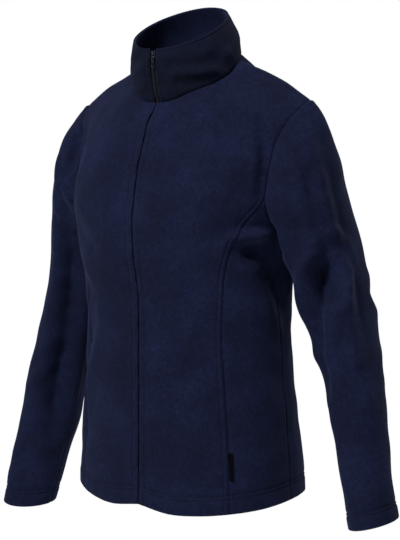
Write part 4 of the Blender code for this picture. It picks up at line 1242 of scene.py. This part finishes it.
slider = {
    "length": 1.1, "width": 0.66, "plate": 0.11, "taper": 1.3, "gap": 0.16, "above": 0.45,
    "bridgeReach": 0.36, "bridgeRise": 0.25, "bridgeHalf": (0.1, 0.05), "bridgeSteps": 24,
}
lean = collarBase[-1, 0] - collarBase[0, 0]
lean[0] = 0
stance = {
    "tilt": math.atan2(-lean[1], lean[2]), "at": tuple((line[-1] + lean / np.linalg.norm(lean) * slider["above"]) * cm),
}
plateSize = (slider["width"], slider["plate"], slider["length"])
flangeSize = (0.06, 0.16, slider["length"] * 0.8)
for name, size, centre, bevel, taper, nodes in (
    ("front_plate", plateSize, (0, -slider["gap"], 0), 0.045, slider["taper"], ("zip_slider",)),
    ("back_plate", plateSize, (0, slider["gap"], 0), 0.045, slider["taper"], ()),
    ("flange_right", flangeSize, (-0.345, -0.09, -0.03), 0.025, 1.0, ()),
    ("flange_left", flangeSize, (0.345, -0.09, -0.03), 0.025, 1.0, ()),
    ("wedge", (0.16, 0.3, 0.3), (0, 0, 0.38), 0.03, 1.0, ()),
):
    softBox("slider_" + name, size, centre, bevel, zincWithPaintedGlint, "zip_metal", nodes, taper, **stance)
# the bridge arches from the plate's upper end to its lower end
arch = []
for k in range(slider["bridgeSteps"] + 1):
    share = k / slider["bridgeSteps"]
    rise = math.sin(math.pi * share) ** 0.55 if 0 < share < 1 else 0.0
    y = -slider["gap"] - 0.03 - slider["bridgeRise"] * rise
    arch.append((0, y, slider["bridgeReach"] * math.cos(math.pi * share)))
mesh = tubeMesh("slider_bridge", arch, *slider["bridgeHalf"], sideways)
bridge = place("slider_bridge", mesh, zincWithPaintedGlint, "zip_metal")
bridge.location = stance["at"]
bridge.rotation_euler = (stance["tilt"], 0, 0)

# the pull: a wire loop round the bridge, and a stamped tab with a hole in it
axisAt = frame["joints"][0]["pos_m"]
pull = {"thickness": 0.12, "bevel": 0.035, "wire": 0.055, "loopHalf": (0.2, 0.26), "loopSteps": 32}
tabOutline = (
    (-0.17, -0.44), (-0.25, -0.62), (-0.29, -0.95), (-0.29, -1.35), (-0.22, -1.64), (0, -1.75),
    (0.22, -1.64), (0.29, -1.35), (0.29, -0.95), (0.25, -0.62), (0.17, -0.44),
)
tabHole = ((0, -0.92), (0.15, -1.05), (0.16, -1.32), (0, -1.52), (-0.16, -1.32), (-0.15, -1.05))
mesh = ringTab("pull_ring_tab", tabOutline, tabHole, pull["thickness"], pull["bevel"])
pullTab = place("pull_ring_tab", mesh, zincWithPaintedGlint, "zip_metal", "pull", nodes=("zip_pull",))
pullTab.location = axisAt
loop = []
for k in range(pull["loopSteps"]):
    angle = 2 * math.pi * k / pull["loopSteps"]
    x, z = (math.copysign(abs(value) ** 0.7, value) for value in (math.cos(angle), math.sin(angle)))
    halfWidth, halfHeight = pull["loopHalf"]
    loop.append((halfWidth * x * (1.0 + 0.1 * math.sin(angle)), 0, halfHeight * (z - 1)))
mesh = tubeMesh("pull_wire_loop", loop, pull["wire"], pull["wire"], (0, 1, 0), True)
wire = place("pull_wire_loop", mesh, zincWithPaintedGlint, "zip_metal", "pull")
wire.location = axisAt
print("slider and pull made")

stage = {
    "floorHeight": -1.42, "floorSize": 5.0, "floorColours": ("#f7f7f8", "#fbfbfb"), "grainMillimetres": 60.0,
    "roomLight": 0.38, "azimuth": 38.0, "distance": 4.90, "cameraHeight": -0.21, "lens": 222.0,
    "aim": (0.0081, 0.0063, -0.306),
}
# place, width, power and what each is aimed at; metres and watts
lamps = {
    "key_softbox": ((0.1, -2.8, 2.0), 0.9, 166.0, (0, 0, -0.3)),
    "fill_softbox": ((3.0, -1.6, 0.6), 1.8, 6.0, (0, 0, -0.3)),
    "top_softbox": ((0.5, -0.9, 2.4), 0.7, 22.0, (0, 0, 0)),
    "back_softbox": ((1.0, 2.6, 1.6), 1.4, 40.0, (0, 0, -0.3)),
}

bpy.ops.mesh.primitive_grid_add(x_subdivisions=2, y_subdivisions=2, size=stage["floorSize"])
floor = bpy.context.object
floor.name = "pale_floor"
floor.location = (0, 0, stage["floorHeight"])
paperLook = {"shader": {"Roughness": 0.9, "Specular IOR Level": 0.2}}
paperLook["dark"], paperLook["light"] = stage["floorColours"]
paper, tree, shader, spot = startMaterial("matt_white_paper", paperLook)
grain = addNode(tree, "ShaderNodeTexNoise", {"Scale": 1000 / stage["grainMillimetres"], "Detail": 2.0, "Vector": spot})
tree.links.new(mixColours(tree, paperLook, grain), shader.inputs["Base Color"])
floor.data.materials.append(paper)
floor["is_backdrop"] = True

world = bpy.data.worlds.new("white_studio")
bpy.context.scene.world = world
world.use_nodes = True
tree = world.node_tree
background = tree.nodes["Background"]
background.inputs["Color"].default_value = (1, 1, 1, 1)
# the white surround is seen at full strength and lights the cloth more gently
seen = addNode(tree, "ShaderNodeLightPath", {}, "Is Camera Ray")
strength = addNode(tree, "ShaderNodeMapRange", {"Value": seen, "To Min": stage["roomLight"], "To Max": 1.0})
tree.links.new(strength, background.inputs["Strength"])

for name, (spot, size, power, target) in lamps.items():
    lamp = bpy.data.lights.new(name, "AREA")
    lamp.shape = "DISK"
    lamp.size = size
    lamp.energy = power
    thing = bpy.data.objects.new(name, lamp)
    bpy.context.scene.collection.objects.link(thing)
    thing.location = spot
    thing.rotation_euler = (Vector(target) - Vector(spot)).to_track_quat("-Z", "Y").to_euler()

bpy.context.scene.view_settings.view_transform = "Standard"
camera = bpy.data.cameras.new("camera")
camera.lens = stage["lens"]
eye = bpy.data.objects.new("camera", camera)
bpy.context.scene.collection.objects.link(eye)
turn = math.radians(stage["azimuth"])
eye.location = (math.sin(turn) * stage["distance"], -math.cos(turn) * stage["distance"], stage["cameraHeight"])
eye.rotation_euler = (Vector(stage["aim"]) - eye.location).to_track_quat("-Z", "Y").to_euler()
bpy.context.scene.camera = eye
print("stage set")

sizes = {"cad": [list(corner) for corner in cadBox], "visual": [list(corner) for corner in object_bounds()]}
